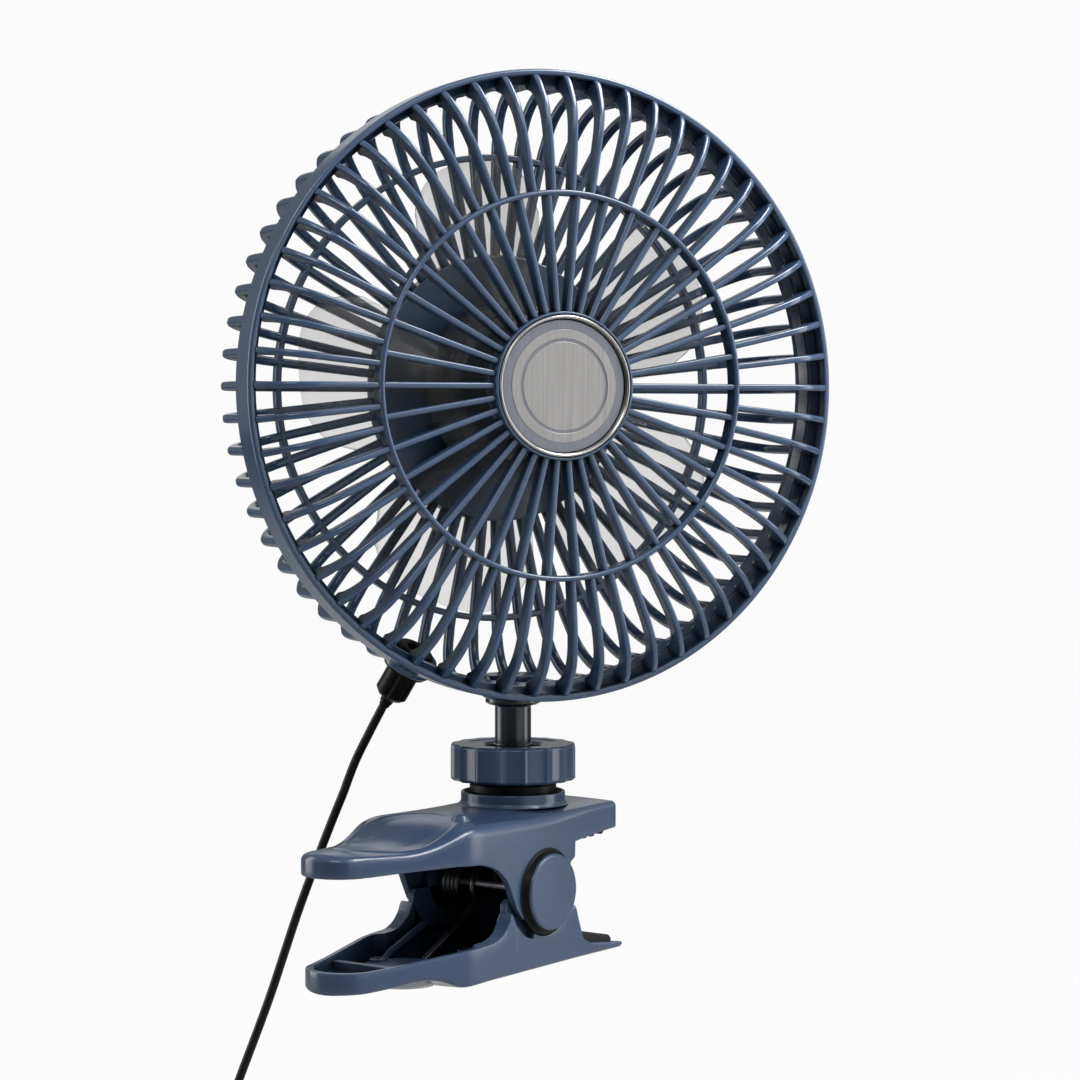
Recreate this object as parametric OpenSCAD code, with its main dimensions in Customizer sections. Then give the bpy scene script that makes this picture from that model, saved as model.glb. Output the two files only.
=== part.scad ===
// Portable clip-on camping fan: guard head on a ball-joint stem, held by a
// sprung two-lever clamp. Millimetres, +Z up, clamp jaws point to +X, the
// clamp pivot lies along Y. The origin is the middle of the gripped bar.

/* [Guard] */
// outer radius of the front guard rim
guard_r = 105; // [100:0.5:110]
// length of the rim band along the fan axis
rim_len = 12.5; // [11:0.5:15]
// wall of the rim band
rim_wall = 2.4; // [2:0.1:3]
// radius of the middle ring in the front guard
mid_r = 63.5; // [58:0.5:68]
// outer radius of the hub ring in the front guard
hub_r = 24.5; // [23.5:0.5:28]
// ribs between the middle ring and the rim
outer_ribs = 58; // [48:2:64]
// ribs between the hub ring and the middle ring
inner_ribs = 38; // [30:2:42]
// width of one front rib
rib_w = 2.1; // [1.6:0.1:2.6]
// fins of the rear guard
rear_fins = 60; // [48:2:64]
// width of one rear fin
fin_w = 3; // [2.4:0.1:3.4]
// depth of the rear guard behind the rim's front edge
guard_depth = 51; // [49:0.5:56]

/* [Impeller] */
// tip radius of the impeller
tip_r = 79; // [72:0.5:84]
// number of blades
blades = 5; // [4:1:6]
// pitch angle of a blade to the plane of the impeller
blade_pitch = 19; // [16:1:20]
// radius of the impeller hub
imp_hub_r = 29; // [27.5:0.5:32]
// radius of the motor shaft
shaft_r = 1.5; // [1.2:0.1:2]

/* [Stem and lock] */
// radius of the stem rod
stem_r = 6; // [5:0.1:6.4]
// radius of the ball
ball_r = 9; // [8.4:0.1:9.4]
// outer radius of the lock knob
knob_r = 21.8; // [20.5:0.1:24]
// height of the lock knob
knob_h = 12.5; // [11:0.1:13]
// scallops round the knob
knob_scallops = 16; // [12:1:20]
// height from the top of the stem to the clamp's deck
stem_drop = 36.2; // [34:0.2:40]
// angle of the head to the clamp, seen from above
fan_yaw = 30; // [25:1:35]

/* [Clamp] */
// width of the clamp across both side walls
clamp_w = 48; // [46:0.5:52]
// wall thickness of the clamp shells
shell_t = 2.6; // [2.2:0.1:3]
// radius of the round nose at the handles' ends
nose_r = 12.5; // [11:0.5:14]
// angle at which each side of the handles draws in
taper = 15.5; // [14:0.5:17]
// radius of the pivot pin
pin_r = 2.5; // [2:0.1:3]
// radius of the pivot caps
cap_r = 13.5; // [12:0.1:14]
// height of a pivot cap above the side wall
cap_h = 2.6; // [2:0.1:3.4]
// wire radius of the torsion spring
wire_r = 1.1; // [0.9:0.1:1.3]

/* [Cord] */
// radius of the power cord
cord_r = 1.5; // [1.4:0.1:1.8]
// radius of the plug body at the fan
plug_r = 5.7; // [5.4:0.1:6]

/* [Fits] */
// gap between fixed pieces that do not touch
gap = 0.3; // [0.25:0.05:0.4]
// radial running clearance of pins, ball and shaft
run = 0.05; // [0.03:0.01:0.08]

/* [Hidden] */
$fn = 96;
navy = [0.16, 0.20, 0.27];
black = [0.03, 0.03, 0.035];
grey = [0.62, 0.64, 0.67];
steel = [0.72, 0.73, 0.75];
smoke = [0.55, 0.57, 0.60, 0.45];
green = [0.06, 0.26, 0.14];

// heights and places, seen from the hub of the fan on the stem axis
stem_back = 33;
dome = 11.4;
rib_back = dome - 5.8;
rear_in = guard_depth - 4;
plate_a = -(guard_depth - 4.2);
mount_a = plate_a + 2.4;
core_r = 46;
ring2_r = guard_r - 25.4;
flange_z = -guard_r - 1;
deck_z = flange_z - stem_drop;
ball_z = deck_z + 3.2;
collar_z = deck_z + 3.5;
knob_bot = deck_z + 8;
knob_top = knob_bot + knob_h;
grip_x = 23.5;
grip_z = deck_z - 29.8;
pivot = [-12.7, 0, deck_z - 27];
half_w = clamp_w / 2;
spring_p = 2 * wire_r - 0.15;
spring_y = half_w - 2 * shell_t - gap - 5 * spring_p - wire_r - 1.95;
spring_c = pin_r + 2.9 + wire_r;
nose_x = -91.5;
foot_x = -61;
foot_r = 11;
// top edge of the upper handle below the deck, from its end to the deck
handle_top = [[-108, -7.2], [-84, -7.5], [-75, -7.7], [-70, -7.3],
  [-65.5, -6.3], [-61, -4.6], [-54.6, -2], [-50, -0.6], [-46, 0]];
seat_r = ball_r + 3;
collet_r = seat_r + run + 1.35;
collar_r = collet_r + gap + 4.2;

// plug axis: angle from the bottom of the guard, lean to the rear
plug_turn = 21.8;
plug_lean = 26;
plug_face = 2.6;
plug_len = 10.6;
relief_len = 4;
socket_r = plug_r + 1.6;

module at_grip() {
  translate([-grip_x, 0, -grip_z])
    children();
}

module at_head() {
  at_grip()
    rotate([0, 0, -fan_yaw])
      rotate([90, 0, 0])
        translate([0, 0, stem_back])
          children();
}

// the motor and impeller stand on the rear guard's plate
module at_motor() {
  at_head()
    translate([0, 0, mount_a])
      children();
}

// radial plate: profile in (radius, distance along the fan axis)
module radial(w) {
  rotate([90, 0, 0])
    translate([0, 0, -w / 2])
      linear_extrude(w)
        children();
}

module lathe(points) {
  rotate_extrude()
    polygon(points);
}

// side profile in the XZ plane, extruded across the clamp
module across(w) {
  rotate([90, 0, 0])
    translate([0, 0, -w / 2])
      linear_extrude(w)
        children();
}

module rod(a, b, r) {
  d = b - a;
  l = norm(d);
  translate(a)
    rotate([0, acos(d[2] / l), atan2(d[1], d[0])])
      cylinder(h = l, r = r, $fn = 32);
}

// ------------------------------------------------------------ front guard
module front_guard() {
  w = rim_wall;
  color(navy)
  at_head()
  union() {
    lathe([[guard_r - w, -rim_len], [guard_r, -rim_len],
      [guard_r, -1], [guard_r - 0.8, 0], [guard_r - w + 0.4, 0],
      [guard_r - w, -0.6], [guard_r - w, -4.4],
      [guard_r - w - 4.8, -4.4], [guard_r - w - 4.8, -6.5],
      [guard_r - w, -6.5]]);
    for (i = [0:outer_ribs - 1])
      rotate([0, 0, 360 * i / outer_ribs])
        radial(rib_w)
          outer_rib();
    for (i = [0:inner_ribs - 1])
      rotate([0, 0, 360 * i / inner_ribs])
        radial(rib_w)
          polygon([[hub_r - 1.2, rib_back], [mid_r, rib_back],
            [mid_r, dome - 0.4], [hub_r - 1.2, dome - 0.7]]);
    lathe([[mid_r - 0.9, rib_back - 0.3], [mid_r + 0.9, rib_back - 0.3],
      [mid_r + 0.9, dome], [mid_r + 0.4, dome + 0.4],
      [mid_r - 0.4, dome + 0.4], [mid_r - 0.9, dome]]);
    hub_cup();
  }
}

module outer_rib() {
  e = guard_r - rim_wall + 0.7;
  polygon([[e, -1.4], [e - 2.7, 2.4], [e - 5.8, 5.5], [e - 9.8, 8.1],
    [e - 15, 9.7], [e - 23, 10.7], [mid_r, dome - 0.4], [mid_r, rib_back],
    [e - 23, 5.4], [e - 16, 4.6], [e - 11.6, 2.9], [e - 8.2, 0.2],
    [e - 5.9, -3], [e - 4.8, -6], [e, -6]]);
}

module hub_cup() {
  lathe([[0, 3], [hub_r, 3], [hub_r, 11.5], [hub_r - 0.6, 12.2],
    [hub_r - 1.8, 12.2], [hub_r - 2.4, 11.6], [hub_r - 2.4, 5], [0, 5]]);
}

module badge_bezel() {
  o = hub_r - 2.4 - gap;
  color(steel)
  at_head()
  lathe([[o - 2.6, 5], [o, 5], [o, 11.6], [o - 0.7, 12.6],
    [o - 1.7, 12.4], [o - 2.6, 10.8]]);
}

module badge_disc() {
  o = hub_r - 2.4 - gap - 2.6 - gap;
  color(steel)
  at_head()
  lathe([[0, 5], [o, 5], [o, 10.6], [o - 0.5, 11], [o - 1.6, 11],
    [o - 1.9, 10.5], [o - 3.1, 10.5], [o - 3.4, 10.9], [o - 4.4, 10.9],
    [o - 4.7, 10.4], [0, 10.4]]);
}

// ------------------------------------------------------------- rear guard
module fin_profile() {
  e = guard_r - 1.2;
  g = guard_depth;
  polygon([[e, -rim_len - 0.4], [e, 20 - g], [e - 1.6, 13.5 - g],
    [e - 5.2, 8 - g], [e - 10.6, 4.2 - g], [e - 17.6, 2 - g],
    [ring2_r, 1 - g], [core_r - 0.6, -g], [core_r - 0.6, 3.8 - g],
    [ring2_r, 4.8 - g], [e - 17.8, 5.8 - g], [e - 11.6, 7.8 - g],
    [e - 7.4, 11 - g], [e - 4.6, 15.4 - g], [e - 3.6, 20.5 - g],
    [e - 3.6, -rim_len - 0.4]]);
}

module rear_guard() {
  e = guard_r;
  s = e - rim_wall - gap;
  color(navy)
  at_head()
  difference() {
    union() {
      lathe([[e - 5.6, -rim_len - 3], [e - 0.6, -rim_len - 3],
        [e - 0.6, -rim_len], [s, -rim_len], [s, -7.4], [s - 2, -7.4],
        [s - 2.9, -rim_len]]);
      for (i = [0:rear_fins - 1])
        rotate([0, 0, 360 * i / rear_fins])
          radial(fin_w)
            fin_profile();
      lathe([[ring2_r - 1.1, -guard_depth + 0.5], [ring2_r + 1.1,
        -guard_depth + 0.5], [ring2_r + 1.1, -rear_in + 0.8],
        [ring2_r - 1.1, -rear_in + 0.8]]);
      lathe([[0, plate_a], [core_r - 3, plate_a],
        [core_r - 3, -guard_depth - 2], [core_r, -guard_depth - 2],
        [core_r, plate_a + 2.4], [0, plate_a + 2.4]]);
      at_stem()
        cylinder(h = 8, r = 10.4);
      socket_boss();
    }
    at_stem()
      translate([0, 0, -1])
        cylinder(h = 6, r = 2.4, $fn = 24);
    at_plug()
      translate([0, 0, -7])
        cylinder(h = 12, r = socket_r - 1 + gap);
    for (i = [0:2])
      rotate([0, 0, 120 * i + 30])
        translate([11, 0, plate_a - 1])
          cylinder(h = 5, r = 1.4, $fn = 24);
  }
}

module at_stem() {
  rotate([-90, 0, 0])
    translate([0, stem_back, flange_z])
      children();
}

module at_plug() {
  rotate([0, 0, -plug_turn])
    translate([0, -(guard_r - 4), 15 - guard_depth])
      rotate([90 + plug_lean, 0, 0])
        children();
}

module socket_boss() {
  at_plug()
    translate([0, 0, -5])
      cylinder(h = 6.2, r = socket_r + 1.6);
}

module dc_socket() {
  b = plug_r - 2.6;
  color(black)
  at_head()
  at_plug()
  difference() {
    union() {
      translate([0, 0, -6.5])
        cylinder(h = 8, r = socket_r - 1);
      translate([0, 0, 1.2])
        cylinder(h = 1, r = socket_r + 0.6);
    }
    translate([0, 0, -5])
      cylinder(h = 9, r = b);
    translate([0, 0, -8])
      cylinder(h = 9, r = 0.8, $fn = 24);
  }
}

module cord_plug() {
  b = plug_r - 2.6 - gap;
  t = plug_face + plug_len;
  color(black)
  at_head()
  at_plug()
  difference() {
    lathe([[0, -4], [b, -4], [b, plug_face - gap], [plug_r - 0.5,
      plug_face - gap], [plug_r, plug_face + 0.2], [plug_r, t - 1.4],
      [plug_r - 1.4, t], [cord_r + 1.2, t],
      [cord_r + 0.3, t + relief_len], [0, t + relief_len]]);
    translate([0, 0, -5])
      cylinder(h = 6.6, r = 1.2, $fn = 24);
  }
}

module rear_cover() {
  o = core_r - 3 - gap;
  g = guard_depth;
  color(navy)
  at_head()
  difference() {
    union() {
      lathe([[o - 2.4, plate_a], [o, plate_a], [o, -g - 6],
        [o - 1.2, -g - 8.6], [o - 4, -g - 10], [0, -g - 11],
        [0, -g - 8.8], [o - 5, -g - 7.8], [o - 2.4, -g - 5]]);
      for (i = [0:3])
        rotate([0, 0, 90 * i + 45])
          translate([32, 0, -g - 8.4])
            cylinder(h = g + plate_a + 8.4, r = 3.6, $fn = 32);
    }
    translate([0, 0, -g - 14])
      cylinder(h = 8, r = 7.2 + gap);
    for (i = [0:3])
      rotate([0, 0, 90 * i + 45])
        translate([32, 0, -g - 12])
          cylinder(h = 3.4, r = 2.9, $fn = 32);
    for (i = [0:3])
      translate([-4.5 + 3 * i, -20, -g - 12])
        cylinder(h = 6, r = 0.8, $fn = 24);
  }
}

module cover_screws() {
  g = guard_depth;
  color(steel)
  at_head()
  for (i = [0:3])
    rotate([0, 0, 90 * i + 45])
      translate([32, 0, -g - 10.3])
        difference() {
          cylinder(h = 1.7, r = 2.5, $fn = 32);
          for (k = [0, 90])
            rotate([0, 0, k])
              translate([-1.5, -0.3, -1])
                cube([3, 0.6, 1.9]);
        }
}

module power_button() {
  g = guard_depth;
  color(grey)
  at_head()
  lathe([[0, -g - 12.4], [5.6, -g - 12.2], [7.2, -g - 11.2],
    [7.2, -g - 8.2], [9, -g - 8.2], [9, -g - 7.2], [3, -g - 7.2],
    [2, -g - 4.4], [0, -g - 4.4]]);
}

module circuit_board() {
  g = guard_depth;
  color(green)
  at_head()
  difference() {
    union() {
      translate([0, 0, -g - 1.6])
        cylinder(h = 1.6, r = core_r - 9);
      translate([-4, -4, -g - 3.1])
        cube([8, 8, 1.6]);
      translate([14, -8, -g - 0.1])
        cube([9, 14, 3]);
    }
    for (i = [0:3])
      rotate([0, 0, 90 * i + 45])
        translate([32, 0, -g - 2])
          cylinder(h = 3, r = 3.6 + gap, $fn = 32);
  }
}

// ------------------------------------------------------ motor and impeller
module motor_housing() {
  o = imp_hub_r - 4.4;
  color(navy)
  at_motor()
  difference() {
    lathe([[o - 3.6, 0], [o, 0], [o, 15.4], [o - 2.6, 18.8],
      [5, 18.8], [5, 16.4], [o - 3.6, 16.4]]);
    for (i = [0:7])
      rotate([0, 0, 45 * i])
        translate([14, 0, 15.4])
          cylinder(h = 5, r = 2, $fn = 24);
  }
}

module motor_can() {
  color(steel)
  at_motor()
  difference() {
    union() {
      cylinder(h = 15.2, r = 17);
      translate([0, 0, 14.8])
        cylinder(h = 3.4, r = 4.4);
    }
    translate([0, 0, 4.4])
      cylinder(h = 16, r = shaft_r + run);
  }
}

module motor_shaft() {
  color(steel)
  at_motor()
  translate([0, 0, 4.8])
    cylinder(h = 25, r = shaft_r);
}

module blade_section() {
  polygon([[-36, -1.2], [-18, 1.9], [0, 3], [18, 2.1], [36, -0.9],
    [36, -1.8], [18, 0.5], [0, 1.3], [-18, 0.3], [-36, -2.1]]);
}

module blade_outline() {
  h = imp_hub_r - 3;
  intersection() {
    circle(r = tip_r);
    polygon([[h, -12], [h + 10, -17], [48, -26], [58, -32], [70, -33],
      [78, -28], [90, 0], [80, 20], [66, 27], [50, 24], [h, 12]]);
  }
}

module impeller() {
  h = imp_hub_r;
  color(smoke)
  at_motor()
  difference() {
    union() {
      lathe([[h - 2.2, 3.4], [h, 3.4], [h, 23.4], [h - 1.6, 26],
        [h - 5, 27.4], [0, 28], [0, 25.6], [h - 5.4, 25],
        [h - 2.2, 22.4]]);
      translate([0, 0, 19.8])
        cylinder(h = 7, r = 5);
      for (i = [0:blades - 1])
        rotate([0, 0, 360 * i / blades + 33])
          intersection() {
            translate([h - 1, 0, 13.4])
              rotate([blade_pitch, 0, 0])
                rotate([90, 0, 90])
                  linear_extrude(tip_r)
                    blade_section();
            translate([0, 0, -1.6])
              linear_extrude(32)
                blade_outline();
          }
    }
    translate([0, 0, 14.4])
      cylinder(h = 20, r = shaft_r);
  }
}

module impeller_cap() {
  color(grey)
  at_motor()
  lathe([[shaft_r + gap, 28], [9, 28], [9, 29.8], [7, 31.5],
    [0, 32], [0, 30.2], [shaft_r + gap, 30.2]]);
}

// ---------------------------------------------------------- stem and lock
module ball_stem() {
  shoulder = ball_z + 12.5;
  color(black)
  at_grip()
  union() {
    translate([0, 0, flange_z - 2.4])
      cylinder(h = 2.4, r = 9.45);
    translate([0, 0, shoulder])
      cylinder(h = flange_z - 1 - shoulder, r = stem_r);
    translate([0, 0, knob_top - 1.4])
      cylinder(h = 1.2, r = stem_r + 0.5);
    translate([0, 0, ball_z + 6])
      cylinder(h = 7, r = 3.6);
    translate([0, 0, ball_z])
      rotate_extrude()
        intersection() {
          circle(r = ball_r);
          translate([0, -ball_r])
            square([ball_r, 2 * ball_r]);
        }
  }
}

module ball_seat() {
  c = ball_r + run;
  t = sqrt(c * c - 25);
  color(grey)
  at_grip()
  difference() {
    translate([0, 0, ball_z - 11])
      cylinder(h = 20, r = seat_r);
    translate([0, 0, ball_z])
      rotate_extrude()
        intersection() {
          circle(r = c);
          translate([0, -c])
            square([c, 2 * c]);
        }
    translate([0, 0, ball_z + 5])
      cylinder(h = 4.01, r1 = t, r2 = t + 1.8);
    for (k = [0, 90])
      rotate([0, 0, k])
        translate([-seat_r - 1, -0.5, ball_z + 5.5])
          cube([2 * seat_r + 2, 1, 6]);
  }
}

module socket_collet() {
  color(black)
  at_grip()
  difference() {
    union() {
      translate([0, 0, ball_z - 13])
        cylinder(h = 22.6, r = collet_r);
      for (i = [0:2])
        translate([0, 0, knob_bot - 3.1 + 1.2 * i])
          cylinder(h = 0.7, r = collet_r + 0.35);
    }
    translate([0, 0, ball_z - 11])
      cylinder(h = 24, r = seat_r + run);
  }
}

module lock_knob() {
  h = knob_h;
  color(navy)
  at_grip()
  translate([0, 0, knob_bot])
  difference() {
    lathe([[0, 0], [knob_r - 1, 0], [knob_r, 0.8], [knob_r, h - 1.2],
      [knob_r - 0.9, h - 0.3], [knob_r - 2, h], [0, h]]);
    translate([0, 0, -1])
      cylinder(h = h + 2, r = 9.9);
    translate([0, 0, -1])
      cylinder(h = 7.4, r = collet_r + 0.35 + gap);
    for (i = [0:knob_scallops - 1])
      rotate([0, 0, 360 * i / knob_scallops + 14.75])
        translate([knob_r + 3.4, 0, -1])
          cylinder(h = h + 2, r = 4.3, $fn = 32);
  }
}

module collar() {
  o = collar_r;
  color(navy)
  at_grip()
  lathe([[collet_r + gap, deck_z], [o, deck_z], [o, collar_z - 0.5],
    [o - 0.5, collar_z], [o - 1.8, collar_z], [o - 2.2, collar_z - 0.9],
    [collet_r + gap, collar_z - 0.9]]);
}

// ------------------------------------------------------------------ clamp
// profiles of the clamp count heights from its deck, downwards
module at_deck() {
  translate([0, 0, deck_z])
    children();
}

// both handles seen from above, drawn in from their outer face: straight
// beside the levers, then tapering to a round nose
module handle_plan(inset) {
  h = half_w - inset;
  r = nose_r - inset;
  t = [nose_x - r * sin(taper), r * cos(taper)];
  k = t[0] + (h - t[1]) / tan(taper);
  union() {
    polygon([[48, -h], [48, h], [k, h], t, [t[0], -t[1]], [k, -h]]);
    translate([nose_x, 0])
      circle(r = r);
  }
}

module handle_block(inset) {
  translate([0, 0, -80])
    linear_extrude(100)
      handle_plan(inset);
}

function raised(p, d) = [for (q = p) q + [0, d]];
function turned(p) = [for (i = [len(p) - 1:-1:0]) p[i]];

module upper_outline() {
  polygon(concat(handle_top, [[26, 0], [27.4, -1.2], [29.1, -8.8],
    [28.7, -9.5], [17.8, -10.4], [3.6, -12.1], [3.6, -17.4], [-4, -22],
    [-12.7, -36], [-25, -35.4], [-28.7, -32], [-31.7, -25.8],
    [-32.6, -23.7], [-35.1, -20.3], [-39.6, -17], [-45.4, -14.8],
    [-49, -14.3], [-59, -13.9], [-83, -14.1], [-91, -14.3],
    [-108, -14.4]]));
}

module upper_hollow() {
  d = shell_t + 0.6;
  polygon(concat(raised(handle_top, -d), [[-2, -d], [1, -9], [1, -60],
    [-60, -60], [-108, -28]]));
}

module upper_jaw() {
  color(navy)
  at_grip()
  difference() {
    union() {
      difference() {
        union() {
          intersection() {
            at_deck()
              across(clamp_w + 10)
                upper_outline();
            at_deck()
              handle_block(0);
          }
          translate(pivot)
            rotate([90, 0, 0])
              translate([0, 0, -half_w])
                cylinder(h = clamp_w, r = cap_r);
        }
        intersection() {
          at_deck()
            across(clamp_w + 10)
              upper_hollow();
          at_deck()
            handle_block(shell_t);
        }
      }
      translate([0, 0, deck_z - 11.6])
        cylinder(h = 11, r = collet_r + 2.4);
      translate([0, 0, deck_z - 1])
        cylinder(h = 1, r = collar_r + 1.5);
      at_deck()
        for (s = [-1, 1])
          translate([0, s * (spring_y + 5 * spring_p - 3.45), 0])
            across(2)
              polygon([[2.5, -2], [-46, -2], [-67, -8.4], [-78, -9],
                [-78, -12], [-66, -12], [-52, -10.2], [2.5, -10.2]]);
      thumb_ring();
    }
    translate([0, 0, ball_z - 13])
      cylinder(h = 30, r = collet_r);
    translate(pivot)
      rotate([90, 0, 0])
        translate([0, 0, -clamp_w])
          cylinder(h = 2 * clamp_w, r = pin_r, $fn = 48);
    at_deck()
      across(clamp_w - 8)
        polygon([[14.2, -8], [26.6, -8], [26.6, -18], [14.2, -18]]);
  }
}

// raised oval line round the thumb rest, which follows the handle's top
module thumb_ring() {
  at_deck()
  intersection() {
    across(clamp_w)
      polygon(concat(raised(handle_top, 0.5),
        turned(raised(handle_top, -1.2))));
    translate([-67.4, 0, -20])
      linear_extrude(30)
        difference() {
          oval(20.6, 14.5);
          oval(19.3, 13.2);
        }
  }
}

module oval(a, b) {
  union() {
    square([2 * (a - b), 2 * b], center = true);
    translate([a - b, 0])
      circle(r = b);
    translate([b - a, 0])
      circle(r = b);
  }
}

module upper_pad() {
  l = 14.2 + gap;
  r = 26.6 - gap;
  color(black)
  at_grip()
  at_deck()
  across(clamp_w - 8 - 2 * gap)
    polygon([[l, -8], [r, -8], [r, -11], [23.6, -12.2], [21.6, -10.8],
      [19.2, -12.4], [17, -11.2], [l, -12.6]]);
}

module lower_outline() {
  polygon([[31.6, -52.8], [33.4, -52], [33, -50.4], [13, -48],
    [8, -44.8], [5, -36.8], [4.2, -33.8], [-1, -29.6], [-6, -28],
    [-28, -28], [-31.4, -29], [-31.8, -32], [-33.2, -35.5],
    [-36.2, -38.7], [-39.7, -40.4], [-44.4, -41], [-53, -41.7],
    [-70, -43.1], [-81, -44], [-91, -44.5], [-108, -44.6],
    [-108, -51.3], [-86, -51.1], [-78, -50.8], [-73, -50.4],
    [-66, -50.3], [-61.3, -51.6], [-57, -52.6], [-54.4, -52.8]]);
}

module lower_tray() {
  t = shell_t;
  f = -52.8 + t;
  polygon([[-46, -20], [-46, f], [-51, f], [-58, f + 0.2],
    [-66, f + 2.4], [-78, f + 2.2], [-112, f + 1.8], [-112, -20]]);
}

module lower_hollow() {
  f = -52.8 + shell_t;
  polygon([[2, f], [5, f + 3.6], [2.4, -38], [1.6, -35], [-2.2, -31.6],
    [-2.2, -6], [-46.5, -6], [-46.5, f]]);
}

// where the side wall gives way to the upper lever's ear
module seam_cut() {
  r = cap_r + 1.4;
  union() {
    translate([pivot[0], pivot[2] - deck_z])
      circle(r = r);
    polygon([[-60, -10], [-60, -31.6], [-32.3, -31.8], [-31.1, -32.6],
      [-29.4, -36], [-25, -40], [-20, -42.2], [pivot[0], -40.6],
      [pivot[0] + 10, -37], [2.4, -34.4], [4.4, -33.4], [12, -32],
      [12, -10]]);
  }
}

module lower_jaw() {
  ear_out = half_w - shell_t - gap;
  ear_in = ear_out - shell_t;
  color(navy)
  at_grip()
  difference() {
    union() {
      difference() {
        intersection() {
          at_deck()
            across(clamp_w + 10)
              lower_outline();
          at_deck()
            handle_block(0);
        }
        intersection() {
          at_deck()
            across(clamp_w + 10)
              lower_tray();
          at_deck()
            handle_block(shell_t);
        }
        at_deck()
          across(2 * ear_in)
            lower_hollow();
        for (s = [-1, 1])
          at_deck()
            translate([0, s * (ear_out + 15), 0])
              across(30)
                seam_cut();
      }
      for (s = [-1, 1])
        translate([pivot[0], s * (ear_out - shell_t / 2), pivot[2]])
          rotate([90, 0, 0])
            translate([0, 0, -shell_t / 2])
              cylinder(h = shell_t, r = 10);
      at_deck()
        intersection() {
          translate([-79, -half_w, -49.5])
            cube([2, clamp_w, 4.5]);
          handle_block(1);
        }
      at_deck()
        translate([foot_x, 0, -49.7])
          cylinder(h = 3.4, r = foot_r + 1.8);
      at_deck()
        translate([-52, spring_y + 2.8, -51.6])
          cylinder(h = 8, r = 3.4, $fn = 32);
    }
    translate(pivot)
      rotate([90, 0, 0])
        translate([0, 0, -clamp_w])
          cylinder(h = 2 * clamp_w, r = pin_r + run, $fn = 48);
    at_deck()
      translate([foot_x, 0, -54.8])
        cylinder(h = 5.7, r = foot_r + gap);
  }
}

module base_pad() {
  color(grey)
  at_grip()
  at_deck()
  translate([foot_x, 0, -52.4])
    cylinder(h = 3.3, r = foot_r);
}

module lower_pad() {
  color(black)
  at_grip()
  at_deck()
  across(clamp_w - 8)
    polygon([[15, -48.24], [30, -50.04], [30, -48.6], [27.4, -47.3],
      [25, -48.2], [22.4, -46.7], [20, -47.6], [17.4, -46.1],
      [15, -46.6]]);
}

module pivot_pin() {
  color(steel)
  at_grip()
  translate(pivot)
    rotate([90, 0, 0])
      translate([0, 0, -half_w - cap_h / 2])
        cylinder(h = clamp_w + cap_h, r = pin_r, $fn = 48);
}

module pivot_caps() {
  c = cap_h;
  color(navy)
  at_grip()
  for (s = [-1, 1])
    translate([pivot[0], s * half_w, pivot[2]])
      rotate([s * -90, 0, 0])
        lathe([[pin_r + gap, 0], [cap_r, 0], [cap_r, c - 1],
          [cap_r - 0.4, c - 0.3], [cap_r - 1.2, c], [0, c],
          [0, c / 2 + gap], [pin_r + gap, c / 2 + gap]]);
}

module spring_turn(y) {
  translate([pivot[0], y, pivot[2]])
    rotate([90, 0, 0])
      rotate_extrude()
        translate([spring_c, 0])
          circle(r = wire_r, $fn = 24);
}

module torsion_spring() {
  c = spring_c;
  p = spring_p;
  y = spring_y;
  color(steel)
  at_grip()
  union() {
    for (i = [0:5])
      spring_turn(y + i * p);
    rod([pivot[0] - c * 0.26, y + 5 * p, pivot[2] + c * 0.96],
      [-60, y + 5 * p, deck_z - 9.4], wire_r);
  }
}

module spring_leg() {
  c = spring_c;
  y = spring_y - 2 * wire_r - gap;
  color(steel)
  at_grip()
  union() {
    spring_turn(y);
    rod([pivot[0] - c * 0.3, y, pivot[2] - c * 0.95],
      [-45.5, y, deck_z - 48.6], wire_r);
  }
}

// ------------------------------------------------------------------- cord
// the cord leaves the plug's sleeve along the plug's own axis
plug_s = plug_face + plug_len + relief_len;
plug_rad = guard_r - 4 + plug_s * cos(plug_lean);
plug_out = guard_depth - 15 - stem_back + plug_s * sin(plug_lean);
plug_end = yawed([-plug_rad * sin(plug_turn), plug_out,
  -plug_rad * cos(plug_turn)]);
plug_dir = yawed([-cos(plug_lean) * sin(plug_turn), sin(plug_lean),
  -cos(plug_lean) * cos(plug_turn)]);
function yawed(p) = [p[0] * cos(fan_yaw) + p[1] * sin(fan_yaw),
  p[1] * cos(fan_yaw) - p[0] * sin(fan_yaw), p[2]];
route = [plug_end, plug_end + 4 * plug_dir,
  plug_end + 8.5 * plug_dir + [-0.5, 0, 0], [-36, 40, -127],
  [-39, 43, -138], [-43, 47.5, -153], [-49, 55.5, -180],
  [-54.5, 63, -208], [-60, 71, -234], [-61.5, 73, -240],
  [-63.3, 75.5, -244.5], [-66, 79.2, -247.2]];
// the spare length hangs as a tied coil in the plane of the cord
coil_turn = 126;
coil_flat = [cos(coil_turn), sin(coil_turn), 0];
coil_side = [sin(coil_turn), -cos(coil_turn), 0];
coil_c = [-68, 82, -268];
coil_r = 20;
coil_t = 5.1;

function unit(v) = v / norm(v);
function blend(a, b, c, d, t) = 0.5 * (2 * b + (c - a) * t
  + (2 * a - 5 * b + 4 * c - d) * t * t
  + (3 * b - a - 3 * c + d) * t * t * t);
function at(p, i) = p[max(0, min(len(p) - 1, i))];
function smooth(p, n) = [for (i = [0:len(p) - 2]) for (k = [0:n - 1])
  blend(at(p, i - 1), at(p, i), at(p, i + 1), at(p, i + 2), k / n),
  p[len(p) - 1]];
function ring(c, t, r) = let (u = unit(cross(t, coil_side)),
  v = cross(t, u)) [for (k = [0:7])
  c + r * (cos(45 * k) * u + sin(45 * k) * v)];
function dir(p, i) = unit(at(p, i + 1) - at(p, i - 1));

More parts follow.
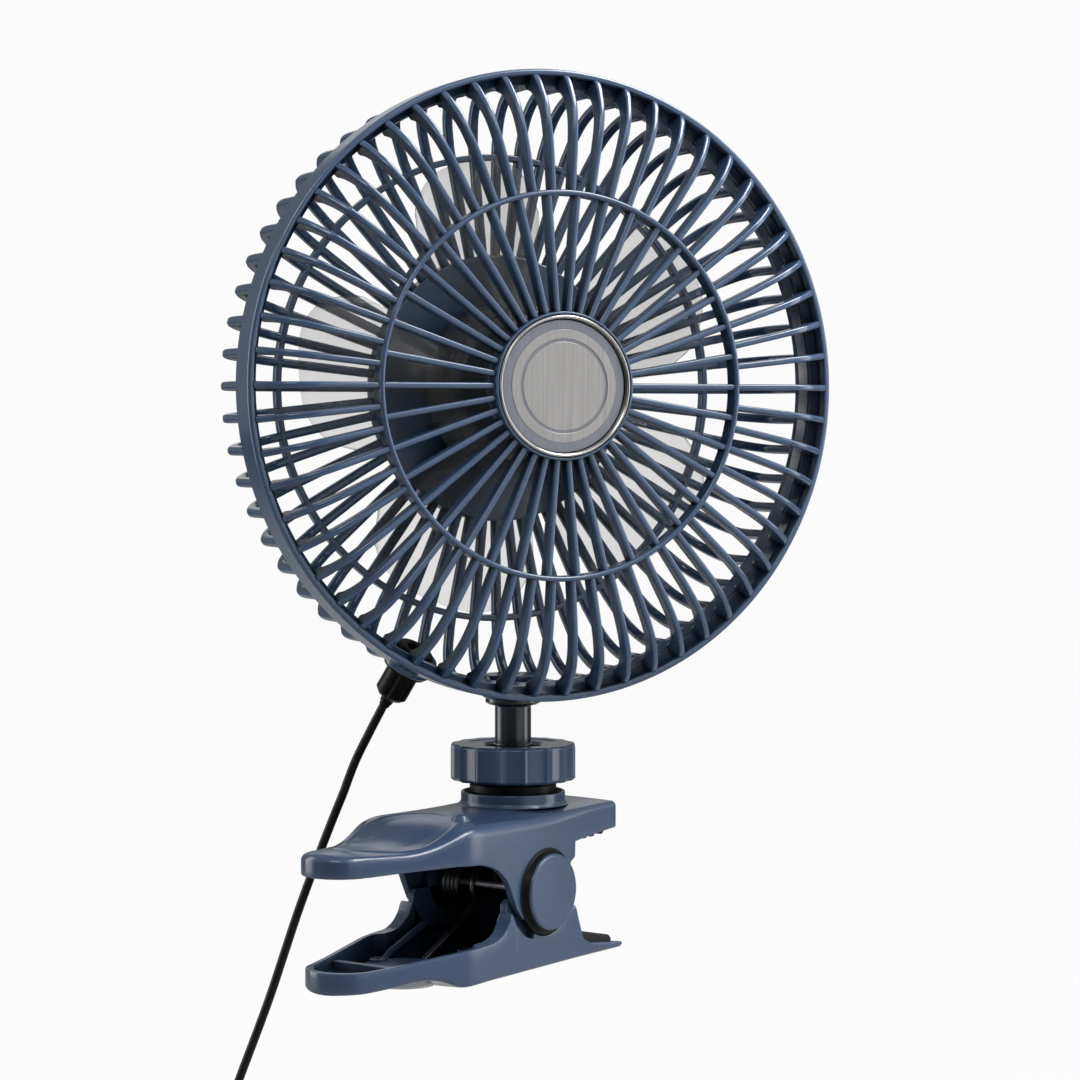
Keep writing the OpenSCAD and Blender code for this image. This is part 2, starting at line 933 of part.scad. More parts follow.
module tube(p, r, start, stop) {
  n = len(p);
  pts = [for (i = [0:n - 1]) each ring(p[i],
    i == 0 ? start : (i == n - 1 ? stop : dir(p, i)), r)];
  sides = [for (i = [0:n - 2]) for (k = [0:7])
    [i * 8 + k, i * 8 + (k + 1) % 8, (i + 1) * 8 + (k + 1) % 8,
    (i + 1) * 8 + k]];
  polyhedron(points = pts, faces = concat(sides,
    [[for (k = [7:-1:0]) k]], [[for (k = [0:7]) (n - 1) * 8 + k]]));
}

module cord() {
  color(black)
  at_grip()
  tube(smooth(route, 3), cord_r, plug_dir,
    unit(coil_flat - [0, 0, 0.1]));
}

module cord_coil() {
  color(black)
  at_grip()
  translate(coil_c)
    rotate([90, 0, coil_turn])
      rotate_extrude()
        translate([coil_r, 0])
          circle(r = coil_t, $fn = 32);
}

module cord_tie() {
  color(grey)
  at_grip()
  translate(coil_c)
    rotate([0, 0, coil_turn])
    difference() {
      translate([coil_r - coil_t - 1.6, -coil_t - 1.6, -3])
        cube([2 * coil_t + 3.2, 2 * coil_t + 3.2, 6]);
      rotate([90, 0, 0])
        rotate_extrude()
          translate([coil_r, 0])
            circle(r = coil_t + 0.1, $fn = 32);
    }
}

tail = [[-66, 79.2, -288.4], [-63.3, 75.5, -291], [-61.5, 73, -295.5],
  [-61, 72.4, -300], [-61, 72.4, -304]];

module cord_tail() {
  color(black)
  at_grip()
  tube(smooth(tail, 2), cord_r, unit([0, 0, -0.1] - coil_flat),
    [0, 0, -1]);
}

module usb_plug() {
  color(black)
  at_grip()
  translate(tail[4])
    rotate([0, 0, coil_turn])
    union() {
      mirror([0, 0, 1])
        cylinder(h = 5.2, r1 = cord_r + 0.6, r2 = 3.2);
      translate([-8, -4, -25])
        cube([16, 8, 20]);
    }
}

module usb_shell() {
  color(steel)
  at_grip()
  translate(tail[4] - [0, 0, 37])
    rotate([0, 0, coil_turn])
    difference() {
      translate([-6, -2.25, 0])
        cube([12, 4.5, 12]);
      translate([-5.6, -1.85, -1])
        cube([11.2, 3.7, 11]);
    }
}

front_guard();
badge_bezel();
badge_disc();
rear_guard();
dc_socket();
cord_plug();
rear_cover();
cover_screws();
power_button();
circuit_board();
motor_housing();
motor_can();
motor_shaft();
impeller();
impeller_cap();
ball_stem();
ball_seat();
socket_collet();
lock_knob();
collar();
upper_jaw();
upper_pad();
lower_jaw();
lower_pad();
base_pad();
pivot_pin();
pivot_caps();
torsion_spring();
spring_leg();
cord();
cord_coil();
cord_tie();
cord_tail();
usb_plug();
usb_shell();
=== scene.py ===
import math
import bpy
import bmesh
import numpy as np
from mathutils import Matrix, Vector


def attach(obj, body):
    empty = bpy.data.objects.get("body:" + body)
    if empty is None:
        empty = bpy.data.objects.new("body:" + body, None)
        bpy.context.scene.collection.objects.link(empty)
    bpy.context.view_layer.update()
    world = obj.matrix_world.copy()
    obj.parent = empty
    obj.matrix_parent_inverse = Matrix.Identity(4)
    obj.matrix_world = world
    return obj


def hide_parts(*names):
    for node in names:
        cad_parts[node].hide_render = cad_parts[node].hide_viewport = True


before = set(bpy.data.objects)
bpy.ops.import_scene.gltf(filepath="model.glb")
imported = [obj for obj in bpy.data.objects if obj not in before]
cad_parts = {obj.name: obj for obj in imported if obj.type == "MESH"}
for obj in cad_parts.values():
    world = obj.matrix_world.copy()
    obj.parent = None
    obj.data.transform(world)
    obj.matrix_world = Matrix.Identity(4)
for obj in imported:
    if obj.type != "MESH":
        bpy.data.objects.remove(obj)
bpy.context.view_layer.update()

# Portable clip fan. Lengths in millimetres count from one of two places:
# S is the stem's axis at the height of the hub, HEAD is the middle of the
# guard's front edge (x to the right, y up, z to the front). Build.done and
# the cord turn them to metres.
MM = 0.001
scene = bpy.context.scene
FAN_YAW = 30  # degrees from the clamp's axis to the fan's
HUB_FRONT = 33  # guard's front edge before the stem's axis
S = Matrix.Translation((-0.0235, 0, 0.172))
HEAD = (S @ Matrix.Rotation(math.radians(-FAN_YAW), 4, "Z")
        @ Matrix.Rotation(math.radians(90), 4, "X")
        @ Matrix.Translation((0, 0, HUB_FRONT * MM)))
DECK = -142.2  # top of the clamp
PIVOT = np.array([-12.7, 0.0, -169.2])

# ------------------------------------------------------------------ camera
cam = bpy.data.cameras.new("camera")
cam_ob = bpy.data.objects.new("camera", cam)
scene.collection.objects.link(cam_ob)
cam.lens = 100.8
cam.sensor_width = 36
cam.clip_end = 30
look_az, look_down = math.radians(37), math.radians(2.05)
aim = Vector((math.cos(look_az) * math.cos(look_down),
              math.sin(look_az) * math.cos(look_down), -math.sin(look_down)))
cam_ob.location = (-0.8448, -0.6305, 0.157)
cam_ob.rotation_euler = aim.to_track_quat("-Z", "Y").to_euler()
scene.camera = cam_ob


# ------------------------------------------------------------------ shapes
def unit(v):
    v = np.asarray(v, float)
    return v / np.linalg.norm(v)


def grid(n, m, wrap_n=False, wrap_m=False):
    """Quads between n rows of m points, closed round where it wraps."""
    out = []
    for i in range(n if wrap_n else n - 1):
        for j in range(m if wrap_m else m - 1):
            a, b = i * m, ((i + 1) % n) * m
            out.append((a + j, a + (j + 1) % m, b + (j + 1) % m, b + j))
    return out


def fillet(points, closed=True, seg=4):
    """Rounds the corners of a profile: each point is (x, y) or (x, y, r)."""
    out = []
    n = len(points)
    for i, p in enumerate(points):
        r = p[2] if len(p) > 2 else 0
        b = np.array(p[:2], float)
        if r <= 0 or (not closed and i in (0, n - 1)):
            out.append(b)
            continue
        a = np.array(points[i - 1][:2], float)
        c = np.array(points[(i + 1) % n][:2], float)
        la, lc = np.linalg.norm(a - b), np.linalg.norm(c - b)
        u, w = (a - b) / la, (c - b) / lc
        ang = math.acos(max(-0.9999, min(0.9999, float(u @ w))))
        d = min(r / math.tan(ang / 2), 0.49 * la, 0.49 * lc)
        r = d * math.tan(ang / 2)
        o = b + unit(u + w) * (r / math.sin(ang / 2))
        s, e = b + u * d - o, b + w * d - o
        t = math.acos(max(-1, min(1, float(s @ e) / (r * r))))
        for k in range(seg + 1):
            q = k / seg
            out.append(o + (s * math.sin((1 - q) * t)
                            + e * math.sin(q * t)) / math.sin(t))
    return np.array(out)


def smooth(points, n):
    """A Catmull-Rom line through the points, n steps to each span."""
    p = np.asarray(points, float)
    p = np.vstack([2 * p[0] - p[1], p, 2 * p[-1] - p[-2]])
    out = []
    for i in range(1, len(p) - 2):
        for k in range(n):
            t = k / n
            a, b, c, d = p[i - 1], p[i], p[i + 1], p[i + 2]
            out.append(0.5 * (2 * b + (c - a) * t
                              + (2 * a - 5 * b + 4 * c - d) * t * t
                              + (3 * b - a - 3 * c + d) * t ** 3))
    out.append(p[-2])
    return np.array(out)


def eased(xs, ys, soft):
    """A smoothed polyline as a function, for surfaces without kinks."""
    x = np.arange(min(xs) - 8 * soft, max(xs) + 8 * soft, soft / 8)
    y = np.interp(x, xs, ys)
    k = np.exp(-0.5 * (np.arange(-24, 25) / 8) ** 2)
    pad = np.concatenate([np.full(24, y[0]), y, np.full(24, y[-1])])
    y = np.convolve(pad, k / k.sum(), "valid")
    return lambda q: np.interp(q, x, y)


WELD = 2e-6  # metres


class Build:
    """Gathers the vertices and faces of one piece."""

    def __init__(self):
        self.v, self.f, self.n = [], [], 0

    def put(self, v, f, place=None):
        v = np.asarray(v, float)
        if place is not None:
            m = np.array(place)
            v = v @ m[:3, :3].T + m[:3, 3]
        self.v.append(v)
        self.f += [tuple(i + self.n for i in q) for q in f]
        self.n += len(v)
        return self

    def lathe(self, profile, n=96, place=None, seg=4):
        """A closed profile of (radius, height, corner) turned round z."""
        p = fillet(profile, True, seg)
        a = np.linspace(0, 2 * np.pi, n, endpoint=False)
        v = np.stack([np.outer(np.cos(a), p[:, 0]),
                      np.outer(np.sin(a), p[:, 0]),
                      np.tile(p[:, 1], (n, 1))], -1)
        return self.put(v.reshape(-1, 3), grid(n, len(p), True, True), place)

    def strips(self, front, back, w, c, count):
        """Rounded bars round z: section from front to back edge, w wide."""
        f, b = smooth(front, 4), smooth(back, 4)
        w = np.interp(np.linspace(0, 1, len(f)),
                      np.linspace(0, 1, np.size(w)), np.ravel(w))
        one = []
        for p, q, wi in zip(f, b, w):
            d = np.linalg.norm(q - p)
            e = (q - p) / d
            h = wi / 2
            r = min(c, h * 0.9, d * 0.4)
            for cx, cy, a0 in ((r, -h + r, 180), (d - r, -h + r, 270),
                               (d - r, h - r, 0), (r, h - r, 90)):
                for a in (a0, a0 + 30, a0 + 60, a0 + 90):
                    s = cx + r * math.cos(math.radians(a))
                    g = cy + r * math.sin(math.radians(a))
                    one.append((p[0] + e[0] * s, g, p[1] + e[1] * s))
        m = len(one) // len(f)  # points of one section
        faces = grid(len(f), m, False, True)
        faces += [tuple(range(m - 1, -1, -1)),
                  tuple((len(f) - 1) * m + k for k in range(m))]
        for i in range(count):
            self.put(one, faces,
                     Matrix.Rotation(2 * math.pi * i / count, 4, "Z"))
        return self

    def tube(self, line, r, m=12):
        """A round rod of radius r along a line, with m sides and flat ends."""
        p = np.asarray(line, float)
        t = np.gradient(p, axis=0)
        t /= np.linalg.norm(t, axis=1)[:, None]
        u = np.cross(t[0], (0, 0, 1) if abs(t[0][2]) < 0.9 else (1, 0, 0))
        v = []
        for i in range(len(p)):
            u = unit(u - (u @ t[i]) * t[i])
            w = np.cross(t[i], u)
            for k in range(m):
                a = 2 * math.pi * k / m
                v.append(p[i] + r * (math.cos(a) * u + math.sin(a) * w))
        f = grid(len(p), m, False, True)
        f += [tuple(range(m)), tuple((len(p) - 1) * m + k for k in range(m))]
        return self.put(v, f)

    def solid(self, bm, place=None):
        """Takes over a bmesh and frees it."""
        for i, x in enumerate(bm.verts):
            x.index = i
        v = [tuple(x.co) for x in bm.verts]
        f = [tuple(x.index for x in q.verts) for q in bm.faces]
        bm.free()
        return self.put(v, f, place)

    def block(self, low, high, r, place=None, seg=3):
        """A box with rounded edges between two corners."""
        low, high = np.array(low, float), np.array(high, float)
        bm = bmesh.new()
        bmesh.ops.create_cube(bm, size=1)
        c, s = (low + high) / 2, high - low
        for x in bm.verts:
            x.co = Vector(c + np.array(x.co) * s)
        bmesh.ops.bevel(bm, geom=bm.edges[:], offset=r, segments=seg,
                        affect="EDGES", profile=0.5, clamp_overlap=True)
        return self.solid(bm, place)

    def plate(self, outline, y0, y1, r):
        """An outline in x and z, from y0 to y1, with rounded edges."""
        bm = bmesh.new()
        low = [bm.verts.new((p[0], y0, p[1])) for p in outline]
        high = [bm.verts.new((p[0], y1, p[1])) for p in outline]
        n = len(low)
        ends = [bm.faces.new(low), bm.faces.new(high[::-1])]
        for i in range(n):
            bm.faces.new((low[i], high[i], high[(i + 1) % n],
                          low[(i + 1) % n]))
        bmesh.ops.recalc_face_normals(bm, faces=bm.faces[:])
        rim = {e for q in ends for e in q.edges}
        bmesh.ops.bevel(bm, geom=list(rim), offset=r, segments=2,
                        affect="EDGES", profile=0.5, clamp_overlap=True)
        return self.solid(bm)

    def done(self, name, mat, body, place=S, rep=(), angle=40,
             weighted=True, square=False):
        """Makes the object, which rides on body and replaces CAD nodes."""
        v = np.vstack(self.v) * MM
        if square:  # vertices along the world's axes, for a tight box
            v = v @ np.array(place.to_3x3()).T
            place = Matrix.Translation(place.translation)
        me = bpy.data.meshes.new(name)
        me.from_pydata(v.tolist(), [], self.f)
        bm = bmesh.new()
        bm.from_mesh(me)
        bmesh.ops.remove_doubles(bm, verts=bm.verts[:], dist=WELD)
        bmesh.ops.dissolve_degenerate(bm, edges=bm.edges[:], dist=WELD)
        bmesh.ops.recalc_face_normals(bm, faces=bm.faces[:])
        bm.to_mesh(me)
        bm.free()
        me.polygons.foreach_set("use_smooth", [True] * len(me.polygons))
        me.set_sharp_from_angle(angle=math.radians(angle))
        ob = bpy.data.objects.new(name, me)
        scene.collection.objects.link(ob)
        ob.matrix_world = place
        me.materials.append(mat)
        if weighted:
            wn = ob.modifiers.new("normals", "WEIGHTED_NORMAL")
            wn.keep_sharp = True
            wn.weight = 60
        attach(ob, body)
        if rep:
            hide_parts(*rep)
        return ob


def turned(name, mat, body, place, rep, n, profile, at=None):
    """A piece that is a single lathe."""
    Build().lathe(profile, n, at).done(name, mat, body, place, rep)


def rounded(x0, y0, x1, y1, r, seg=3):
    """A rectangle's outline with rounded corners."""
    return fillet([(x0, y0, r), (x1, y0, r), (x1, y1, r), (x0, y1, r)],
                  True, seg)


# --------------------------------------------------------------- materials
class Tree:
    """A node tree, of a new material or of the world."""

    def __init__(self, owner):
        owner.use_nodes = True
        self.owner = owner
        self.nodes = owner.node_tree.nodes

    def feed(self, node, inputs):
        """Gives each input a number, a colour or another node's output."""
        for name, value in inputs.items():
            if isinstance(value, bpy.types.NodeSocket):
                self.owner.node_tree.links.new(value, node.inputs[name])
            else:
                node.inputs[name].default_value = value

    def add(self, kind, inputs, out=0, **settings):
        """Makes a node and returns one of its outputs."""
        node = self.nodes.new("ShaderNode" + kind)
        for name, value in settings.items():
            setattr(node, name, value)
        self.feed(node, inputs)
        return node.outputs[out]

    def noise(self, scale, detail, stretch=(1, 1, 1)):
        at = self.add("Mapping", {"Vector": self.add("TexCoord", {}, "Object"),
                                  "Scale": stretch})
        return self.add("TexNoise", {"Vector": at, "Scale": scale,
                                     "Detail": detail, "Roughness": 0.5},
                        "Fac")

    def spread(self, fac, low, high, a=0.3, b=0.7):
        """Maps fac from a..b to low..high."""
        return self.add("MapRange", {"Value": fac, "From Min": a,
                                     "From Max": b, "To Min": low,
                                     "To Max": high})

    def math(self, operation, *values):
        return self.add("Math", dict(enumerate(values)), operation=operation)

    def blend(self, fac, *colors):
        """Mixes two colours, each a triple or an output."""
        a, b = (c if isinstance(c, bpy.types.NodeSocket) else (*c, 1)
                for c in colors)
        return self.add("Mix", {0: fac, 6: a, 7: b}, 2, data_type="RGBA")

    def surface(self, fine, bump, depth, inputs):
        """Sets the material's shader, with a relief of the fine grain."""
        normal = self.add("Bump", {"Strength": bump, "Distance": depth,
                                   "Height": fine})
        self.feed(self.nodes["Principled BSDF"],
                  {"Normal": normal, **inputs})

    def white_rays(self):
        """One for rays from the camera or through glass, else zero."""
        return self.math("MAXIMUM",
                         self.add("LightPath", {}, "Is Camera Ray"),
                         self.add("LightPath", {}, "Is Transmission Ray"))

    def finish(self, output, fac, a, b):
        """Mixes two shaders into the tree's output."""
        self.feed(self.nodes[output],
                  {0: self.add("MixShader", {0: fac, 1: a, 2: b})})


def finish_of(name, color, rough, vary=0.1, rough_vary=0.06, grain=1400,
              bump=0.06, depth=0.00004, blotch=38, metallic=0.0, spec=0.5,
              wear=0.0, wear_color=None, stretch=(1, 1, 1),
              streak=(1, 1, 1), shade=None, reach=0.02):
    """Moulded plastic, rubber or metal: cloudy colour, fine grain in the
    roughness and the relief, lighter rubbed edges and painted shade in
    recesses."""
    t = Tree(bpy.data.materials.new(name))
    out = t.blend(t.spread(t.noise(blotch, 3, streak), 0, 1),
                  [c * (1 - vary) for c in color],
                  [min(1, c * (1 + vary)) for c in color])
    if wear:
        out = t.blend(t.spread(t.add("NewGeometry", {}, "Pointiness"),
                               0, wear, 0.505, 0.56), out, wear_color)
    if shade is not None:
        # painted shade: ambient occlusion darkens the colour and the shine in
        # recesses
        painted_shade = t.spread(t.add("AmbientOcclusion", {"Distance": reach}, "AO",
                              samples=8), shade, 1.0, 0.2, 0.75)
        out = t.blend(painted_shade, (0.002, 0.003, 0.005), out)
        spec = t.math("MULTIPLY", painted_shade, spec)
    fine = t.noise(grain, 2, stretch)
    both = t.math("ADD", fine, t.noise(blotch * 3.1, 4))
    t.surface(fine, bump, depth, {
        "Base Color": out, "Metallic": metallic, "Specular IOR Level": spec,
        "Roughness": t.spread(both, rough - rough_vary, rough + rough_vary,
                              0.7, 1.3)})
    return t.owner


# the navy plastics get painted shade in their recesses, as dark as shade says
navy = finish_of("navy_plastic", (0.031, 0.056, 0.108), 0.21, vary=0.07,
                 spec=0.42, wear=0.25, wear_color=(0.09, 0.13, 0.19),
                 rough_vary=0.035, bump=0.025, shade=0.12)
navy_deep = finish_of("navy_guard", (0.030, 0.064, 0.128), 0.18, vary=0.07,
                      spec=0.6, rough_vary=0.035, bump=0.025, shade=0.06,
                      reach=0.018)
dark = finish_of("dark_gloss_plastic", (0.006, 0.013, 0.023), 0.2, spec=0.55,
                 vary=0.1, rough_vary=0.04)
black = finish_of("black_plastic", (0.004, 0.004, 0.0045), 0.36, spec=0.09)
cord_mat = finish_of("cord_sheath", (0.004, 0.004, 0.0045), 0.4, spec=0.16,
                     grain=2600, bump=0.15)
rubber = finish_of("pad_rubber", (0.014, 0.014, 0.015), 0.75, spec=0.2,
                   grain=900, bump=0.3, depth=0.0001)
foot_mat = finish_of("grey_foot", (0.42, 0.43, 0.44), 0.6, vary=0.05,
                     spec=0.35, grain=900, bump=0.25, depth=0.0001)
grey = finish_of("grey_plastic", (0.30, 0.31, 0.32), 0.4, vary=0.05)
chrome = finish_of("chrome_ring", (0.36, 0.35, 0.34), 0.2, metallic=1.0,
                   vary=0.04, rough_vary=0.05, bump=0.02)
steel = finish_of("spring_steel", (0.52, 0.52, 0.52), 0.26, metallic=1.0,
                  vary=0.08, stretch=(1, 1, 9), bump=0.1)
spring_mat = finish_of("oiled_spring", (0.10, 0.10, 0.105), 0.34,
                       metallic=1.0, vary=0.12, bump=0.1)
pin_mat = finish_of("bright_pin", (0.78, 0.78, 0.77), 0.4, metallic=0.35,
                    vary=0.05, bump=0.05)
board = finish_of("board_green", (0.02, 0.12, 0.05), 0.4, vary=0.2,
                  blotch=300)
brushed = finish_of("brushed_disc", (0.30, 0.295, 0.29), 0.36,
                    metallic=1.0, vary=0.10, blotch=1100, grain=2600,
                    stretch=(1, 0.03, 1), streak=(1, 0.03, 1), bump=0.12,
                    depth=0.00002, rough_vary=0.07)
brushed_band = finish_of("brushed_band", (0.185, 0.195, 0.22), 0.36,
                         metallic=1.0, vary=0.06, blotch=700, grain=2600,
                         stretch=(1, 0.03, 1), streak=(1, 0.03, 1),
                         bump=0.12, depth=0.00002, rough_vary=0.07)


def smoky():
    """Tinted clear plastic that is denser where it is seen edge on."""
    t = Tree(bpy.data.materials.new("smoky_clear"))
    edge_on = t.add("LayerWeight", {"Blend": 0.35}, "Facing")
    fine = t.noise(900, 2)
    t.surface(fine, 0.03, 0.00003, {
        "Base Color": t.blend(t.spread(t.noise(30, 2), 0, 1),
                              (0.085, 0.086, 0.084), (0.120, 0.120, 0.116)),
        "Alpha": t.spread(edge_on, 0.13, 0.8, 0.0, 1.0),
        "Roughness": t.spread(fine, 0.10, 0.2), "Specular IOR Level": 0.3})
    return t.owner


smoke = smoky()

# -------------------------------------------------------------------- cord
GUARD_R = 101  # the plug's socket stands at this radius
SOCKET_BACK = 36  # and this far behind the guard's front edge
PLUG_TURN, PLUG_LEAN = math.radians(21.8), math.radians(26)
PLUG_LENGTH = 17.2
COIL_TURN = math.radians(126)
COIL_R = 20
COIL_C = np.array([-68.0, 82.0, -268.0])
PITCH = 3.15  # from turn to turn


def yawed(x, y, z):
    """From the fan's own directions to the clamp's."""
    c, s = math.cos(math.radians(FAN_YAW)), math.sin(math.radians(FAN_YAW))
    return np.array([x * c + y * s, y * c - x * s, z])


plug_rad = GUARD_R + PLUG_LENGTH * math.cos(PLUG_LEAN)
plug_out = SOCKET_BACK - HUB_FRONT + PLUG_LENGTH * math.sin(PLUG_LEAN)
plug_end = yawed(-plug_rad * math.sin(PLUG_TURN), plug_out,
                 -plug_rad * math.cos(PLUG_TURN))
plug_dir = yawed(-math.cos(PLUG_LEAN) * math.sin(PLUG_TURN),
                 math.sin(PLUG_LEAN),
                 -math.cos(PLUG_LEAN) * math.cos(PLUG_TURN))
route = [plug_end, plug_end + 3 * plug_dir, (-36, 40, -127),
         (-39, 43, -138), (-43, 47.5, -153), (-49, 55.5, -180),
         (-54.5, 63, -208), (-60, 71, -234), (-61.5, 73, -240),
         (-63.3, 75.5, -244.5)]
coil_u = np.array([math.cos(COIL_TURN), math.sin(COIL_TURN), 0.0])
coil_n = np.array([coil_u[1], -coil_u[0], 0.0])
up = np.array([0.0, 0.0, 1.0])
# the turns lie in three layers of three, each in one of these cells
cells = [(0, 0), (1, 0), (1, -1), (0, -1), (-1, -1), (-1, 0), (-1, 1),
         (0, 1), (1, 1)]
TURNS = 8.5
STEPS = 24  # points on one turn
coil = []
for k in range(int(TURNS * STEPS) + 1):
    q = k / STEPS
    n = int(min(q, len(cells) - 1.001))
    t = q - n
    # a turn keeps its cell, then moves over to the next one
    e = 0.5 - 0.5 * math.cos(math.pi * min(1, max(0, (t - 0.55) / 0.4)))
    c0, c1 = cells[n], cells[min(n + 1, len(cells) - 1)]
    rr = COIL_R + PITCH * (c0[0] * (1 - e) + c1[0] * e)
    ww = PITCH * (c0[1] * (1 - e) + c1[1] * e)
    a = math.pi / 2 - 2 * math.pi * q
    coil.append(COIL_C + coil_u * rr * math.cos(a) + up * rr * math.sin(a)
                + coil_n * ww)
tail = [(-62.6, 74.6, -292.0), (-61.4, 73.0, -296.5), (-61, 72.4, -300.5),
        (-61, 72.4, -304)]
line = np.vstack([smooth(route, 2), np.array(coil)[1:], tail])
cu = bpy.data.curves.new("power_cord", "CURVE")
cu.dimensions = "3D"
cu.bevel_depth = 0.0015
cu.bevel_resolution = 5
cu.resolution_u = 4
sp = cu.splines.new("BEZIER")
sp.bezier_points.add(len(line) - 1)
for b, p in zip(sp.bezier_points, line):
    b.co = Vector(p) * MM
    b.handle_left_type = b.handle_right_type = "AUTO"
cu.use_fill_caps = True
cord = bpy.data.objects.new("power_cord", cu)
scene.collection.objects.link(cord)
cord.matrix_world = S
cu.materials.append(cord_mat)
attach(cord, "head")
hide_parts("cord", "cord_coil", "cord_tail")

# a strap with a small buckle ties the coil
turn = Matrix.Rotation(COIL_TURN, 4, "Z")
at_coil = Matrix.Translation(Vector(COIL_C)) @ turn
tie = Build()
STRAP = 1.1
loop = rounded(13.2, -6.8, 26.8, 6.8, 2.6, 5)
sec = rounded(0, -3, STRAP, 3, 0.5)
ctr = np.array([COIL_R, 0.0])
vs = []
for p in loop:
    d = unit(p - ctr)
    for s in sec:
        q = p + d * (s[0] - STRAP)
        vs.append((q[0], q[1], s[1]))
tie.put(vs, grid(len(loop), len(sec), True, True), at_coil)
tie.block((19.0, -8.6, -3.4), (23.5, -6.2, 3.4), 0.7, at_coil)
tie_ob = tie.done("cord_wrap", black, "head", S, ("cord_tie",))

# USB plug with strain relief and finger grooves, its shell and its tongue
end = Matrix.Translation(Vector(tail[-1])) @ turn
usb = Build()
usb.block((-8, -4, -25), (8, 4, -5), 1.8, end, 4)
usb.lathe([(0, 0.4), (2.0, 0.4, 0.3), (2.1, -1.4, 0.3), (1.8, -1.8),
           (2.4, -2.3, 0.3), (2.5, -3.0, 0.3), (2.1, -3.4),
           (3.2, -5.4, 0.3), (0, -5.4)], 32, end)
for k in range(4):
    low, high = -21.5 + 3.4 * k, -20.2 + 3.4 * k
    usb.block((-8.25, -3.2, low), (-7.4, 3.2, high), 0.3, end)
    usb.block((7.4, -3.2, low), (8.25, 3.2, high), 0.3, end)
usb_ob = usb.done("usb_body", black, "head", S, ("usb_plug",))
shell = Build()
ring_o = rounded(-6, -2.25, 6, 2.25, 0.5)
ring_i = rounded(-5.6, -1.85, 5.6, 1.85, 0.3)
lv = [[(*p, z) for p in r] for r, z in ((ring_i, -26), (ring_i, -37),
                                        (ring_o, -37), (ring_o, -24.8))]
shell.put(np.array(lv).reshape(-1, 3), grid(4, len(ring_o), False, True), end)
shell_ob = shell.done("usb_metal", steel, "head", S, ("usb_shell",))
tongue = Build().block((-5.2, -1.4, -36.2), (5.2, 0.1, -25), 0.2, end)
tongue_ob = tongue.done("usb_tongue", black, "head", S)

# ------------------------------------------------------------------- stage
FLOOR_Z, FLOOR_HALF = -0.2, 4
corners = ((-1, -1), (1, -1), (1, 1), (-1, 1))
floor_me = bpy.data.meshes.new("floor")
floor_me.from_pydata([(FLOOR_HALF * x, FLOOR_HALF * y, FLOOR_Z)
                      for x, y in corners], [], [(0, 1, 2, 3)])
floor = bpy.data.objects.new("floor", floor_me)
scene.collection.objects.link(floor)

t = Tree(bpy.data.materials.new("floor_white"))
base = t.nodes["Principled BSDF"]
t.feed(base, {"Specular IOR Level": 0.0, "Base Color": (0.5, 0.5, 0.5, 1),
              "Roughness": t.spread(t.noise(2, 2), 0.86, 0.9)})
glow = t.add("Emission", {"Color": (1, 1, 1, 1)})
# the floor keeps a twentieth of its own light, and with it the shadow
t.finish("Material Output", t.math("MULTIPLY", t.white_rays(), 0.95),
         base.outputs[0], glow)
floor_me.materials.append(t.owner)

world = bpy.data.worlds.new("world")
scene.world = world
t = Tree(world)
room = t.nodes["Background"]
t.feed(room, {0: (0.93, 0.96, 1.0, 1), 1: 0.13})
white = t.add("Background", {0: (1, 1, 1, 1), 1: 0.963})
# mirror rays see the same white, save for the dark room behind the camera
facing = t.add("VectorMath", {0: t.add("TexCoord", {}, "Generated"),
                              1: (-0.8, -0.6, 0.0)}, "Value",
               operation="DOT_PRODUCT")
bright = t.math("MULTIPLY", t.spread(facing, 0.8, 0.10, 0.6, 0.9),
                t.spread(facing, 0.12, 1.0, -0.8, -0.3))
mirrored = t.math("MULTIPLY", t.add("LightPath", {}, "Is Glossy Ray"),
                  bright)
t.finish("World Output", t.math("MAXIMUM", t.white_rays(), mirrored),
         room.outputs[0], white)
scene.view_settings.view_transform = "Standard"


def lamp(name, at, size, power, target=(0, 0, 0.12)):
    light = bpy.data.lights.new(name, "AREA")
    light.shape = "RECTANGLE"
    light.size, light.size_y = size
    light.energy = power
    o = bpy.data.objects.new(name, light)
    scene.collection.objects.link(o)
    o.location = at
    d = Vector(target) - Vector(at)
    o.rotation_euler = d.to_track_quat("-Z", "Y").to_euler()
    o.visible_camera = False


lamp("key_right", (0.8, -1.05, 0.38), (0.6, 1.3), 9)
lamp("left_front", (-1.15, -0.5, 1.0), (0.6, 0.5), 5.5)
lamp("front_panel", (-0.25, -1.5, 0.0), (1.2, 0.9), 3)
lamp("front_top", (-0.3, -1.15, 1.05), (0.7, 0.5), 4)
lamp("back_left", (-0.6, 1.1, 0.3), (0.7, 1.1), 9)
lamp("back_right", (0.95, 0.78, 0.5), (0.8, 0.5), 0.7)
# this one lights the fillets along the top handle
lamp("ridge", (0.36, -0.456, 1.05), (0.95, 0.45), 20, (-0.06, 0, 0.03))

# ------------------------------------------------------------- front guard
# a front rib runs from e, where it stands in the rim, to the middle ring
e = 103.3
MID_R, OUTER_RIBS, INNER_RIBS, RIB_CORNER = 63.5, 58, 38, 0.75
g = Build()
g.lathe([(102.6, -12.5, 0.3), (105, -12.5, 0.5), (105, 0, 1.0),
         (102.7, 0, 0.8), (102.6, -4.6, 0.3), (100.4, -6.0, 0.3),
         (100.4, -7.2, 0.3), (102.6, -7.2, 0.2)], 256)
front = [(e, -6), (e, -0.4), (e - 2.5, 3.0), (e - 5.8, 5.5), (e - 9.8, 8.1),
         (e - 15, 9.7), (e - 23, 10.7), (MID_R, 11.0)]
back = [(e - 4.8, -6), (e - 5.2, -4.6), (e - 6.0, -2.6), (e - 8.2, 0.2),
        (e - 11.6, 2.9), (e - 16, 4.6), (e - 23, 5.4), (MID_R, 5.6)]
